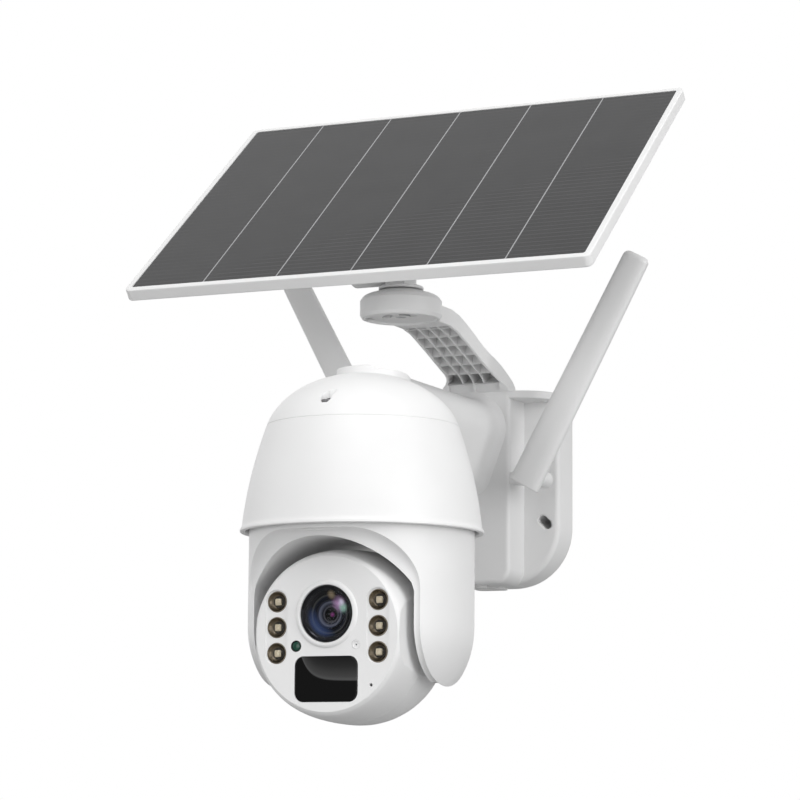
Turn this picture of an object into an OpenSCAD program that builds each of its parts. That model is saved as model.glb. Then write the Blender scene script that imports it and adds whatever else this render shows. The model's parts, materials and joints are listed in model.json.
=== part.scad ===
// Solar-powered security camera: wall bracket, dome with a panning yoke and a
// tilting head, two folding antennas and a solar panel on a swivelling hinge.
// Origin: on the wall plane, in the middle of the four wall-screw holes.
// +X to the right, +Y into the wall, +Z up. All sizes in millimetres.

/* [Bracket] */
// Width of the back box on the wall
bracket_w = 92; // [88:1:96]
// Height of the back box
bracket_h = 112; // [110:1:114]
// Depth of the back box
box_d = 22.5; // [21:0.5:24]
// Width of the battery housing
housing_w = 48; // [47:0.5:50]
// Depth of the battery housing from the wall
housing_d = 45.5; // [45:0.5:48]
// Height of the bracket's top above the origin
bracket_top = 46; // [46]
// Spacing of the wall screws across
hole_dx = 74; // [72:1:76]
// Spacing of the wall screws up and down
hole_dz = 58; // [54:1:60]

/* [Dome] */
// Distance from the wall to the pan axis
dome_y = 194.5; // [190:0.5:200]
// Height of the cap's rim below the origin
rim_drop = 50; // [48:1:52]
// Radius of the cap at its rim
cap_r = 65; // [65]
// Wall of the moulded shells
wall = 2.4; // [2:0.1:2.8]

/* [Yoke and head] */
// Outer radius of the yoke
yoke_r = 60; // [60]
// Inner faces of the two arms, from the pan axis
arm_x = 47.5; // [47:0.1:47.5]
// Tilt axis below the rim
tilt_drop = 55.5; // [55:0.5:56]
// Radius of the head at the tilt axis
head_r = 46; // [45:0.5:46]
// Flat sides of the head, from the pan axis
head_flat = 41; // [40:0.5:42]
// Front face of the head, from the pan axis
face_d = 42.2; // [41:0.2:43]
// Radius of the front face
face_r = 40.5; // [39:0.5:41]

/* [Drives] */
// Teeth of the pan gear
pan_teeth = 70; // [70]
// Teeth of the tilt gear
tilt_teeth = 30; // [30]
// Teeth of each motor pinion
pinion_teeth = 12; // [12]
// Gear module
gear_m = 1; // [1]

/* [Panel] */
// Width of the panel frame
panel_w = 274; // [260:1:280]
// Length of the panel frame up the slope
panel_l = 198.5; // [190:0.5:200]
// Thickness of the panel frame
panel_t = 7; // [6:0.5:8]
// Width of the frame's lip round the glass
lip_w = 3.5; // [3:0.5:5]
// Slope of the panel
panel_slope = 39; // [37:1:41]

/* [Antennas] */
// Length of a blade below its pivot
blade_low = 6.5; // [6:0.5:9]
// Length of a blade above its pivot
blade_up = 140; // [120:5:145]
// Lean of each antenna from upright
lean = 28.3; // [24:0.1:32]

/* [Hidden] */
$fn = 64;
eps = 0.01;             // small overreach for clean cuts
fit = 0.05;             // radial clearance of a turning shaft
gap = 0.3;              // clearance between pieces on different bodies
side = bracket_w / 2;
low_r = 35;             // radius of the back box's lower corners
top_r = 4;              // radius of its upper corners
low = bracket_top - bracket_h;
plate_t = 3;            // rear plate
shelf_t = 4.5;          // top shelf over the side pockets
screw_r = 2.4;          // wall-screw hole in the rear plate
seal_t = 0.6;
cell_r = 9.2;
cell_l = 65;
cell_z = low + 5.6;
button_r = 5;
button_y = -34;
port_y = -14;
pivot_x = 42.5;         // antenna pivots
pivot_z = -6;
blade_y = -65.5;        // front of the blades
blade_t = 8;
knuckle_r = 5;
joint_y = -48;          // where post and blade knuckle meet
lug_y = [-44.5, -36];   // front and back of the antenna lugs
tenon_x = 20.2;         // inner end of their tenons
arm_w = 30;             // panel arm
foot_x = 22.2;          // half-width of its foot on the bracket
disc_r = 22.7;
disc_y = -146.3;
disc_low = 73.2;
disc_high = 84;
crown_z = 89.4;         // crown of the round end
base_r = 12.5;          // foot of the panel's swivel
pin_z = 108;            // panel hinge pin
pin_r = 2.5;
ear_r = 15.2;           // round end of the wide hinge ear
slope_back = 32.2;      // pin to panel centre, along the slope
pin_to_back = 20.3;     // pin to the underside of the panel frame
pan_floor = 1.4;        // floor of the panel frame
seam_z = 57;            // cap seam above the rim
screw_y = -45;          // recess of the cap's screw
boss_y = 13;            // round boss on the cap, behind the pan axis
cable_z = 49;           // cable hole in the back of the skirt
deck_z = -5.5;          // underside of the yoke's deck, from the rim
hub_r = 12;
chassis_z = 8;
gear_z = 31.5;
gear_h = 5;
pan_centres = gear_m * (pan_teeth + pinion_teeth) / 2;
tilt_centres = gear_m * (tilt_teeth + pinion_teeth) / 2;
motor_turn = 225;       // direction of the tilt motor seen along +X
split_y = -16;          // seam between the head shells
axle_r = 8;
lens_up = 10.3;         // lens centre above the tilt axis
led_x = 29;
led_pitch = 13.4;
led_up = 3.7;           // middle lamp above the tilt axis
led_r = 5.5;
window = [36, 23.5];
window_down = 23.3;     // window centre below the tilt axis
window_r = 5;
white = [0.93, 0.93, 0.92];
shade = [0.80, 0.80, 0.79];
dark = [0.08, 0.08, 0.09];
board = [0.10, 0.36, 0.20];
metal = [0.72, 0.73, 0.75];
brass = [0.80, 0.66, 0.32];

// ---- helpers ----

// Moves its children from the dome's frame (rim centre) to the part's frame
module at_dome() { translate([0, -dome_y, -rim_drop]) children(); }

// The tilt axis, with X along the axis
module at_tilt() { at_dome() translate([0, 0, -tilt_drop]) children(); }

// A cylinder from a towards +Y
module rod_y(r, l, x = 0, y = 0, z = 0) {
  translate([x, y, z]) rotate([-90, 0, 0]) cylinder(r = r, h = l);
}

// A cylinder from a towards +X
module rod_x(r, l, x = 0, y = 0, z = 0) {
  translate([x, y, z]) rotate([0, 90, 0]) cylinder(r = r, h = l);
}

// Extrudes a shape drawn in X and Z from y0 to y1
module slab_y(y0, y1) {
  translate([0, y1, 0]) rotate([90, 0, 0]) linear_extrude(y1 - y0) children();
}

// Extrudes a shape drawn in Y and Z from x0 to x1
module slab_x(x0, x1) {
  translate([x0, 0, 0]) rotate([90, 0, 90]) linear_extrude(x1 - x0) children();
}

// A block given by two corners
module block(a, b) { translate(a) cube(b - a); }

// A rounded rectangle centred on the origin
module rounded(w, h, r) {
  square([w - 2 * r, h], center = true);
  square([w, h - 2 * r], center = true);
  for (x = [-1, 1], y = [-1, 1]) translate([x * (w / 2 - r), y * (h / 2 - r)]) circle(r);
}

// A slot of width 2r whose end centres are l apart, turned by a
module slot(r, l, a = 0) {
  rotate(a) {
    square([l, 2 * r], center = true);
    for (x = [-1, 1]) translate([x * l / 2, 0]) circle(r);
  }
}

module ring(r_out, r_in, h) {
  difference() {
    cylinder(r = r_out, h = h);
    translate([0, 0, -eps]) cylinder(r = r_in, h = h + 2 * eps);
  }
}

// A spur gear blank with straight-sided teeth, drawn on its axis.
// turn moves the teeth round by that many degrees.
module gear(teeth, h, bore, turn = 0) {
  pitch = gear_m * teeth / 2;
  step = 360 / teeth;
  points = [for (i = [0 : teeth - 1]) each
    [[pitch - 1.25 * gear_m, (i - 0.34) * step + turn], [pitch, (i - 0.22) * step + turn],
     [pitch + 0.85 * gear_m, (i - 0.10) * step + turn], [pitch + 0.85 * gear_m, (i + 0.10) * step + turn],
     [pitch, (i + 0.22) * step + turn], [pitch - 1.25 * gear_m, (i + 0.34) * step + turn]]];
  difference() {
    linear_extrude(h) polygon([for (p = points) p[0] * [cos(p[1]), sin(p[1])]]);
    translate([0, 0, -eps]) cylinder(r = bore, h = h + 2 * eps);
  }
}

// A pan-head screw along -Z: head below z = 0, shank above
module screw(r, l, head_r, head_h) {
  difference() {
    translate([0, 0, -head_h]) cylinder(r = head_r, h = head_h);
    translate([0, 0, -head_h - eps]) for (a = [0, 90]) rotate(a)
      translate([-head_r * 0.6, -head_r * 0.12, 0]) cube([head_r * 1.2, head_r * 0.24, head_h * 0.5]);
  }
  cylinder(r = r, h = l);
}

// ---- bracket ----

// Outline of the back box in X and Z, drawn inset by g
module box_outline(g = 0) {
  translate([-side + g, low + low_r]) square([bracket_w - 2 * g, bracket_h - low_r - top_r]);
  translate([-side + low_r, low + g]) square([bracket_w - 2 * low_r, low_r]);
  translate([-side + top_r, bracket_top - top_r - eps]) square([bracket_w - 2 * top_r, top_r - g + eps]);
  for (x = [-1, 1]) {
    translate([x * (side - low_r), low + low_r]) circle(low_r - g);
    translate([x * (side - top_r), bracket_top - top_r]) circle(top_r - g);
  }
}

// Outline of the battery housing in X and Z, drawn inset by g
module housing_outline(g = 0) {
  w = housing_w - 2 * g;
  r = 9 - g;
  translate([-w / 2, low + 9]) square([w, bracket_h - 9 - g]);
  translate([-w / 2 + r, low + g]) square([w - 2 * r, 9]);
  for (x = [-1, 1]) translate([x * (w / 2 - r), low + 9]) circle(r);
}

wall_holes = [for (x = [-1, 1], z = [-1, 1]) [x * hole_dx / 2, z * hole_dz / 2]];
plate_posts = [for (x = [-1, 1]) each [[x * 31, 38], [x * 41, 6], [x * 29, -46]]];

// The shelf in plan: its front edge runs back in a quarter ellipse to the sides
module shelf_plan() {
  steps = 8;
  polygon(concat(
    [[side, -plate_t], [side, -box_d]],
    [for (i = [1 : steps]) [housing_w / 2 + (side - housing_w / 2) * cos(90 * i / steps),
                            -box_d - (housing_d - box_d) * sin(90 * i / steps)]],
    [for (i = [steps : -1 : 1]) [-housing_w / 2 - (side - housing_w / 2) * cos(90 * i / steps),
                                 -box_d - (housing_d - box_d) * sin(90 * i / steps)]],
    [[-side, -box_d], [-side, -plate_t]]));
}

module bracket_shell() color(white) {
  difference() {
    union() {
      slab_y(-box_d, -plate_t) box_outline();
      slab_y(-housing_d, -plate_t) housing_outline();
      intersection() {
        translate([0, 0, bracket_top - shelf_t]) linear_extrude(shelf_t) shelf_plan();
        slab_y(-housing_d, -plate_t) box_outline();
      }
    }
    difference() {
      union() {
        slab_y(-box_d + 2, -plate_t + eps) box_outline(wall);
        slab_y(-housing_d + wall, -plate_t + eps) housing_outline(wall);
      }
      for (h = wall_holes) rod_y(5.6, box_d, h[0], -box_d, h[1]);
      for (p = plate_posts) rod_y(3.6, box_d, p[0], -box_d, p[1]);
    }
    for (h = wall_holes) slab_y(-box_d - eps, eps)
      translate(h) slot(2.6, 4.2, sign(h[0]) * sign(h[1]) * 45);
    for (p = plate_posts) rod_y(1.5, 12, p[0], -plate_t - 12, p[1]);
    for (x = [-1, 1]) {
      translate([x * (pivot_x + tenon_x) / 2, 0, pivot_z]) lug(fit);
      translate([x * 36, -27, bracket_top - shelf_t - eps]) cylinder(r = 2.6, h = shelf_t + 2 * eps);
    }
    for (x = [-12, 12]) translate([x, -34, bracket_top - wall - 1]) cylinder(r = 2.2, h = wall + 2);
    rod_y(8, wall + 2, 0, -housing_d - 1, 18);
    translate([0, button_y, low - 1]) cylinder(r = button_r + gap, h = wall + 2);
    translate([0, port_y, low - 1]) linear_extrude(wall + 2) rounded(14, 8, 2);
  }
  // a ring round each shelf hole
  for (x = [-1, 1]) translate([x * 36, -27, bracket_top - shelf_t - 1]) ring(4.2, 2.6, 1);
}

module rear_plate() color(shade) difference() {
  slab_y(-plate_t + seal_t, 0) box_outline(0.4);
  for (h = wall_holes) rod_y(screw_r, plate_t + 2, h[0], -plate_t - 1, h[1]);
  for (p = plate_posts) {
    rod_y(1.8, plate_t + 2, p[0], -plate_t - 1, p[1]);
    rod_y(3.4, 1.5, p[0], -1.4, p[1]);
  }
}

module plate_seal() color(dark) difference() {
  slab_y(-plate_t, -plate_t + seal_t) box_outline(0.5);
  slab_y(-plate_t - 1, -plate_t + seal_t + 1) box_outline(2.2);
}

module plate_screws() color(metal)
  for (p = plate_posts) translate([p[0], -1.4, p[1]]) rotate([90, 0, 0]) screw(1.5, 11, 3, 1.2);

module battery_cells() color([0.16, 0.38, 0.62])
  for (x = [-1, 1], y = [-33.2, -13.4]) translate([x * (cell_r + 0.3), y, cell_z]) {
    cylinder(r = cell_r, h = cell_l);
    translate([0, 0, cell_l]) cylinder(r = 2.8, h = 1.2);
  }

module cell_holder() color(dark) difference() {
  union() {
    block([-16, -42.6, low + 3], [16, -3.8, low + 4.4]);
    block([-19.6, -42.6, low + 4.4], [19.6, -3.8, cell_z]);
    block([-19.6, -42.6, cell_z + cell_l + 1.2], [19.6, -3.8, cell_z + cell_l + 3.4]);
    for (x = [-19.6, 18.8]) block([x, -42.6, cell_z], [x + 0.8, -3.8, cell_z + cell_l + 1.2]);
  }
  translate([0, button_y, low]) cylinder(r = button_r + 1.7, h = 4.7);
  block([-9, port_y - 6, low], [9, port_y + 6, low + 4.2]);
}

module charge_board() color(board) {
  block([-19, -26, 8.5], [19, -24.4, 40]);
  block([-14, -32, 26], [-4, -26, 36]);
  block([2, -30, 27], [14, -26, 35]);
  for (x = [-12, 0, 12]) block([x - 3, -29.5, 12], [x + 3, -26, 18]);
  for (x = [-8, 8]) rod_y(2.6, 6, x, -24.4, 22);
}

module port_cover() color([0.22, 0.22, 0.23]) {
  translate([0, port_y, low - 1.2]) linear_extrude(1.2) rounded(18, 12, 4);
  translate([0, port_y, low]) linear_extrude(2.2) rounded(13.4, 7.4, 1.8);
}

module power_button() color(shade) translate([0, button_y, 0]) {
  translate([0, 0, low - 1.4]) cylinder(r = button_r, h = 1.4 + wall);
  translate([0, 0, low + wall]) cylinder(r = button_r + 1.2, h = 0.8);
}

// Section of the neck in X and Z, drawn inset by g: broad above, narrow below
module neck_section(g = 0) {
  hull() {
    translate([0, 24]) circle(17 - g, $fn = 32);
    translate([0, -3]) circle(7.5 - g, $fn = 32);
  }
}

module neck() color(white) difference() {
  slab_y(-dome_y + 30, -housing_d) neck_section();
  slab_y(-dome_y + 20, -housing_d - 2.4) neck_section(wall);
  at_dome() cap_solid(0);
  at_dome() translate([0, boss_y, 80]) cylinder(r = 20, h = 12);
  rod_y(8, 10, 0, -housing_d - 5, 18);
}

// ---- panel arm ----

arm_top = [[-128, 84], [-103, 84], [-81, 77], [-61.5, 69.2], [-39.5, 63.8], [-32.5, 59.5], [-30.2, 53.4],
           [-30.2, bracket_top]];
arm_low = [[-41.2, bracket_top], [-47.5, 54.8], [-60.5, 59.2], [-84.5, 67.5], [-96, 71.6], [-106.5, 74.2],
           [-128, 74.2]];

module arm_profile() { polygon(concat(arm_top, arm_low)); }

module panel_arm() color(white) difference() {
  union() {
    difference() {
      slab_x(-arm_w / 2, arm_w / 2) arm_profile();
      slab_x(-arm_w / 2 + 2, arm_w / 2 - 2) polygon(concat(
        [for (p = [arm_top[1], arm_top[2], arm_top[3], arm_top[4]]) p - [-1, 3]],
        [[-34, bracket_top + 8.6], [-34, bracket_top + 4], [-43, bracket_top + 4]],
        [for (i = [1 : 5]) arm_low[i] - [0, 1]]));
    }
    // cross ribs, then the three long ribs, all cut to the profile
    intersection() {
      slab_x(-arm_w / 2 + 1, arm_w / 2 - 1) arm_profile();
      union() {
        for (i = [0 : 5]) translate([-arm_w / 2, -98 + i * 10, 40]) cube([arm_w, 1.4, 60]);
        for (x = [-6.8, 0, 6.8]) translate([x - 0.7, -125, 40]) cube([1.4, 86, 60]);
      }
    }
    for (x = [-1, 1]) translate([0, 0, bracket_top])
      linear_extrude(6) polygon([[x * (arm_w / 2 - 1), -41], [x * foot_x, -38], [x * foot_x, -31],
                                 [x * (arm_w / 2 - 1), -30.4]]);
    translate([0, disc_y, disc_low]) cylinder(r = disc_r, h = disc_high - disc_low);
    translate([0, disc_y, disc_high])
      cylinder(r1 = disc_r - 0.6, r2 = base_r + 0.5, h = crown_z - disc_high);
  }
  translate([0, disc_y, disc_low - 1]) cylinder(r = 3 + fit, h = 30);
  translate([0, disc_y, disc_low - 1]) cylinder(r = 6.4, h = 5);
  translate([0, disc_y, disc_low + 1.8]) intersection() {
    difference() {
      cylinder(r = 20.4, h = 6);
      translate([0, 0, -eps]) cylinder(r = 10, h = 7);
      for (a = [0 : 60 : 300]) rotate(a) translate([0, -0.7, -eps]) cube([22, 1.4, 7]);
    }
    translate([-30, -30, 0]) cube([60, 60, 6]);
  }
  for (x = [-12, 12]) translate([x, -34, bracket_top - 1]) cylinder(r = 1.6, h = 6);
}

module arm_screws() color(metal) for (x = [-12, 12])
  translate([x, -34, bracket_top - wall]) screw(1.6, wall + 5, 3.6, 1.6);

// ---- antennas ----

// The lug that carries a pivot: its tenon goes through the housing's side wall. Drawn larger by g
module lug(g = 0) {
  half = (pivot_x - tenon_x) / 2;
  block([-half - g, lug_y[0] - g, -3 - g], [half + g, lug_y[1] + g, 4.5 + g]);
}

module antenna_posts() color(white) for (x = [-1, 1]) difference() {
  union() {
    rod_y(knuckle_r, lug_y[1] - joint_y - gap, x * pivot_x, joint_y + gap, pivot_z);
    translate([x * (pivot_x + tenon_x) / 2, 0, pivot_z]) lug();
  }
  rod_y(2 + fit, 40, x * pivot_x, joint_y - 5, pivot_z);
}

// Outline of a blade in X and Z about its pivot
module blade_outline(g = 0) {
  hull() {
    translate([-9.3 + g, -blade_low + g]) square([18.6 - 2 * g, 1]);
    for (x = [-1, 1]) translate([x * 5, blade_up - 3]) circle(3 - g, $fn = 16);
  }
}

// The blade: s is +1 on the right and -1 on the left
module blade(s) color(white) translate([s * pivot_x, 0, pivot_z]) rotate([0, s * lean, 0]) {
  difference() {
    union() {
      slab_y(blade_y, blade_y + blade_t) blade_outline();
      rod_y(knuckle_r, joint_y - blade_y - 1, 0, blade_y + 1, 0);
    }
    slab_y(blade_y + 2.2, blade_y + blade_t - 2.2) translate([0, 12]) scale([0.7, 0.9]) blade_outline();
    rod_y(2 + fit, 14, 0, joint_y - 10, 0);
  }
}

module antenna_left() { blade(-1); }
module antenna_right() { blade(1); }

module radiator(s) color(brass) translate([s * pivot_x, blade_y + blade_t / 2, pivot_z])
  rotate([0, s * lean, 0]) block([-4, -0.6, 20], [4, 0.6, 110]);

module radiator_left() { radiator(-1); }
module radiator_right() { radiator(1); }

module pivot_screws() color(metal) for (x = [-1, 1])
  rod_y(2, lug_y[1] - joint_y + 8, x * pivot_x, joint_y - 8, pivot_z);

// ---- dome ----

// Outer radius of the cap at height z over its rim
function skirt_r(z) = z < 1.5 ? cap_r : 64.3 - 0.092 * z - 0.0023 * z * z;
function top_r_at(z) = 53.1 * sqrt(max(0, 1 - pow((z - 48) / 38, 2)));

skirt_z = [0, 1.5, 3.5, 10, 18, 26, 34, 42, 50, seam_z];
top_z = [for (a = [21 : 9 : 84]) 48 + 38 * sin(a)];

// The cap's outer form, drawn smaller by g
module cap_solid(g) rotate_extrude($fn = 96) polygon(concat(
  [[0, g > 0 ? -1 : 0]],
  [for (z = skirt_z) [(z == 1.5 ? cap_r : skirt_r(z)) - g, z == 0 && g > 0 ? -1 : z]],
  [for (z = top_z) [top_r_at(z) * (53.1 - g) / 53.1, z - g * (z - seam_z) / (86 - seam_z)]],
  [[0, 86 - g]]));

module below(z) { translate([-100, -100, z - 200]) cube([200, 200, 200]); }
module above(z) { translate([-100, -100, z]) cube([200, 200, 200]); }

module cap_skirt() color(white) at_dome() difference() {
  cap_solid(0);
  cap_solid(wall);
  above(seam_z);
  rod_y(4.5, 26, 0, 40, cable_z);
}

module cap_top() color(white) at_dome() difference() {
  union() {
    cap_solid(0);
    translate([0, boss_y, 80]) difference() {
      cylinder(r = 20, h = 10);
      translate([2.6, -30, 8]) cube([30, 60, 5]);
    }
  }
  difference() {
    cap_solid(wall);
    translate([0, screw_y, 50]) cylinder(r = 4, h = 40);
  }
  below(seam_z);
  translate([0, screw_y, 64.5]) cylinder(r = 3.1, h = 20);
  translate([0, screw_y, 50]) cylinder(r = 1.7, h = 30);
}

module cap_screw() color(metal) at_dome()
  translate([0, screw_y, 64.5]) rotate([180, 0, 0]) screw(1.7, 12, 2.8, 1.8);

module chassis() color(shade) at_dome() difference() {
  union() {
    translate([0, 0, chassis_z]) cylinder(r = 60, h = 3);
    translate([0, 0, chassis_z - 2]) cylinder(r = 19, h = 16);
    for (a = [0, 120, 240]) rotate(a) translate([47, 0, chassis_z + 3]) cylinder(r = 2.6, h = 31);
  }
  translate([0, 0, chassis_z - 3]) cylinder(r = 15, h = 20);
  translate([-pan_centres, 0, chassis_z + 2]) cylinder(r = 4.5, h = 2);
}

module pan_bush() color(brass) at_dome() translate([0, 0, chassis_z - 2]) ring(15, hub_r + fit, 16);

module pan_motor() color(metal) at_dome() translate([-pan_centres, 0, chassis_z + 3]) {
  cylinder(r = 13.8, h = 19);
  cylinder(r = 4, h = 20);
}

module pan_pinion() color(white) at_dome() translate([-pan_centres, 0, gear_z])
  gear(pinion_teeth, gear_h, 1.5, 0);

module main_board() color(board) at_dome() difference() {
  union() {
    translate([0, 0, 42]) cylinder(r = 51, h = 1.6);
    translate([-18, -10, 43.6]) cube([16, 16, 3]);
    translate([6, -20, 43.6]) cube([20, 14, 2.4]);
    translate([-8, 18, 43.6]) cube([24, 10, 7]);
  }
  translate([0, 0, 41]) cylinder(r = 5, h = 4);
}

module speaker() color(dark) at_dome() translate([28, 12, 43.6]) {
  cylinder(r = 12, h = 3);
  translate([0, 0, 3]) cylinder(r1 = 12, r2 = 9, h = 4);
}

// ---- yoke ----

// Radius of the yoke's outside at height z below the rim: a cylinder over an ellipsoid
function yoke_at(z, g) = z > -50 ? yoke_r - g : (yoke_r - g) * sqrt(1 - pow((z + 50) / (55 - g), 2));

module yoke_solid(g, high, deep) rotate_extrude($fn = 96) polygon(concat(
  [[0, high], [yoke_r - g, high]],
  [for (i = [0 : 10]) let(z = -50 - (deep - 50) * i / 10) [yoke_at(z, g), z]],
  [[0, -deep]]));

// The opening between the arms, in X and Z: upright sides under a flat arc
module arch(g = 0) {
  intersection() {
    translate([0, -59.5]) circle(54 + g);
    translate([-arm_x - g, -60]) square([2 * (arm_x + g), 60]);
  }
  translate([-arm_x - g, -100]) square([2 * (arm_x + g), 60]);
}

// The outer edge of the bevel round the opening
module arch_mouth() {
  translate([0, -52]) rounded(2 * (arm_x + 1.7), 100, 30);
  translate([-arm_x - 1.7, -110]) square([2 * (arm_x + 1.7), 60]);
}

module yoke() color(white) at_dome() difference() {
  union() {
    yoke_solid(0, 3, 84);
    translate([0, 0, deck_z]) cylinder(r = hub_r, h = 36.5 - deck_z + 1);
  }
  difference() {
    slab_y(-70, 70) arch();
    translate([0, 0, deck_z]) cylinder(r = 14, h = 20);
  }
  for (s = [-1, 1]) slab_y(s > 0 ? 55 : -62, s > 0 ? 62 : -55) intersection() {
    arch_mouth();
    translate([-49.2, -34]) square([98.4, 32]);
  }
  difference() {
    translate([0, 0, -3]) cylinder(r = 57.4, h = 10);
    translate([0, 0, -4]) cylinder(r = hub_r, h = 12);
  }
  translate([0, 0, deck_z - 1]) cylinder(r = 9, h = 60);
  for (s = [0, 180]) rotate(s) intersection() {
    yoke_solid(wall, -12, 80);
    translate([arm_x - 1, -60, -90]) cube([20, 120, 76]);
  }
}

// The retainer sits in the hub's free length above the bush
module pan_retainer() color(metal) at_dome() translate([0, 0, chassis_z + 14.4]) ring(17, hub_r, 2);

module pan_gear() color(white) at_dome() translate([0, 0, gear_z]) {
  gear(pan_teeth, gear_h, hub_r, 180 / pan_teeth);
}

// A flat cover that closes an arm's pocket; bore is the hole for the tilt bearing
module arm_cover(bore) intersection() {
  yoke_solid(wall, -12, 80);
  difference() {
    translate([arm_x, -60, -90]) cube([2, 120, 76]);
    rod_x(bore, 10, arm_x - 4, 0, -tilt_drop);
  }
}

module arm_cover_right() color(shade) at_dome() arm_cover(5);
module arm_cover_left() color(shade) at_dome() rotate(180) arm_cover(11);

// Fixed stub on the right arm, which the head turns on
module tilt_stub() color(metal) at_tilt() difference() {
  union() {
    rod_x(5, 31.5, 20, 0, 0);
    rod_x(11, 2, arm_x + 2, 0, 0);
    rod_x(axle_r, arm_x - 32, 32, 0, 0);
  }
  rod_x(3, 40, 15, 0, 0);
}

module tilt_gear() color(white) at_tilt() translate([26, 0, 0]) rotate([0, 90, 0])
  gear(tilt_teeth, gear_h, 5, 270 - motor_turn - 180 / tilt_teeth);

module tilt_bush() color(brass) at_tilt() rod_x_ring(11, axle_r + fit, 6, -arm_x - 4, 0);

module rod_x_ring(r_out, r_in, l, x, y) difference() {
  rod_x(r_out, l, x, y, 0);
  rod_x(r_in, l + 2, x - 1, y, 0);
}

// ---- head ----

// Radius of the head at distance y along the lens axis, drawn smaller by g
function head_at(y, g) = y > 0 ? (head_r - g) * sqrt(1 - pow(y / (head_r - g), 2))
  : face_r - g + (head_r - face_r) * sqrt(1 - pow(y / face_d, 2));

module head_solid(g) intersection() {
  rotate([-90, 0, 0]) rotate_extrude($fn = 96) polygon(concat(
    [[0, -face_d + g], [face_r - g - 1.5, -face_d + g]],
    [for (i = [0 : 8]) let(y = -(face_d - g - 1.2) * cos(90 * i / 8)) [head_at(y, g), y]],
    [for (i = [1 : 9]) let(y = (head_r - g) * sin(10 * i - 2)) [head_at(y, g), y]],
    [[0, head_r - g]]));
  translate([-head_flat + g, -60, -60]) cube([2 * (head_flat - g), 120, 120]);
}

lamp_places = [for (x = [-1, 1], i = [-1 : 1]) [x * led_x, led_up + i * led_pitch]];
head_posts = [for (x = [-33, 33], z = [-22, 26]) [x, z]];

module head_front() color(white) at_tilt() difference() {
  head_solid(0);
  difference() {
    head_solid(wall);
    for (p = head_posts) rod_y(3, 30, p[0], -face_d, p[1]);
  }
  translate([-60, split_y, -60]) cube([120, 80, 120]);
  rod_y(14.9, 10, 0, -face_d - 5, lens_up);
  for (x = [-led_x, led_x]) slab_y(-face_d - 1, -face_d + 0.8)
    translate([x, led_up]) slot(6.3, 2 * led_pitch, 90);
  for (p = lamp_places) rod_y(led_r, 6, p[0], -face_d - 1, p[1]);
  slab_y(-face_d - 1, -face_d + 5) translate([0, -window_down]) rounded(window[0], window[1], window_r);
  rod_y(2.9, 6, -17.4, -face_d - 1, -6.2);
  rod_y(2.4, 6, 16.9, -face_d - 1, -5.8);
  rod_y(0.9, 6, 25.6, -face_d - 1, -26.6);
  for (p = head_posts) rod_y(1.3, 14, p[0], split_y - 12, p[1]);
}

module head_rear() color(white) at_tilt() difference() {
  head_solid(0);
  head_solid(wall);
  translate([-60, split_y - 100, -60]) cube([120, 100, 120]);
  rod_x(axle_r + fit, 10, head_flat - 6, 0, 0);
  rod_x(axle_r, 10, -head_flat - 4, 0, 0);
}

// Hollow axle on the head's left side; its flange sits inside the shell
module tilt_axle() color(metal) at_tilt() difference() {
  union() {
    rod_x(axle_r, 14, -head_flat - 11.5, 0, 0);
    rod_x(11, 2, -head_flat + wall, 0, 0);
  }
  rod_x(5, 40, -head_flat - 20, 0, 0);
}

module lens_trim() color(white) at_tilt() difference() {
  rod_y(18.6, 1, 0, -face_d - 1, lens_up);
  rod_y(14.9, 4, 0, -face_d - 2, lens_up);
}

module lens_barrel() color(dark) at_tilt() difference() {
  union() {
    rod_y(14.8, 9, 0, -face_d - 0.6, lens_up);
    rod_y(12.5, 22, 0, -face_d + 8, lens_up);
  }
  translate([0, -face_d - 0.7, lens_up]) rotate([-90, 0, 0]) cylinder(r1 = 13.6, r2 = 12.6, h = 2.4);
  rod_y(10.5, 4, 0, -face_d + 1.6, lens_up);
  rod_y(6, 26, 0, -face_d + 5, lens_up);
}

module lens_glass() color([0.25, 0.28, 0.34, 0.5]) at_tilt() {
  rod_y(12.4, 1.2, 0, -face_d + 0.4, lens_up);
  rod_y(10.4, 1.6, 0, -face_d + 3.4, lens_up);
}

module led_rings() color([0.75, 0.72, 0.68]) at_tilt() for (p = lamp_places) difference() {
  rod_y(led_r - 0.05, 3, p[0], -face_d + 0.2, p[1]);
  translate([p[0], -face_d + 0.1, p[1]]) rotate([-90, 0, 0]) cylinder(r1 = led_r - 0.8, r2 = 2.4, h = 2.9);
  rod_y(1.8, 6, p[0], -face_d, p[1]);
}

module led_lamps() color([0.9, 0.82, 0.6]) at_tilt() for (p = lamp_places)
  translate([p[0], -face_d + 3.2, p[1]]) rotate([90, 0, 0]) {
    cylinder(r = 1.7, h = 1.2);
    translate([0, 0, 1.2]) cylinder(r1 = 1.7, r2 = 0.8, h = 0.8);
  }

module led_board() color(board) at_tilt() for (x = [-led_x, led_x])
  slab_y(-face_d + 3.2, -face_d + 4.8) translate([x, led_up]) slot(5.2, 2 * led_pitch, 90);

module pir_window() color(dark) at_tilt()
  slab_y(-face_d + 0.3, -face_d + 2.3) translate([0, -window_down])
    rounded(window[0] - 0.1, window[1] - 0.1, window_r);

module pir_sensor() color(metal) at_tilt() {
  rod_y(4.6, 5, 0, -face_d + 8, -window_down);
  block([-14, -face_d + 13, -window_down - 8], [14, -face_d + 14.6, -window_down + 8]);
}

module light_sensor() color([0.05, 0.25, 0.18]) at_tilt() rod_y(2.85, 3, -17.4, -face_d + 0.3, -6.2);

module microphone() color(shade) at_tilt() difference() {
  rod_y(2.35, 3, 16.9, -face_d + 0.3, -5.8);
  rod_y(0.7, 2, 16.9, -face_d - 1, -5.8);
}

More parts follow.
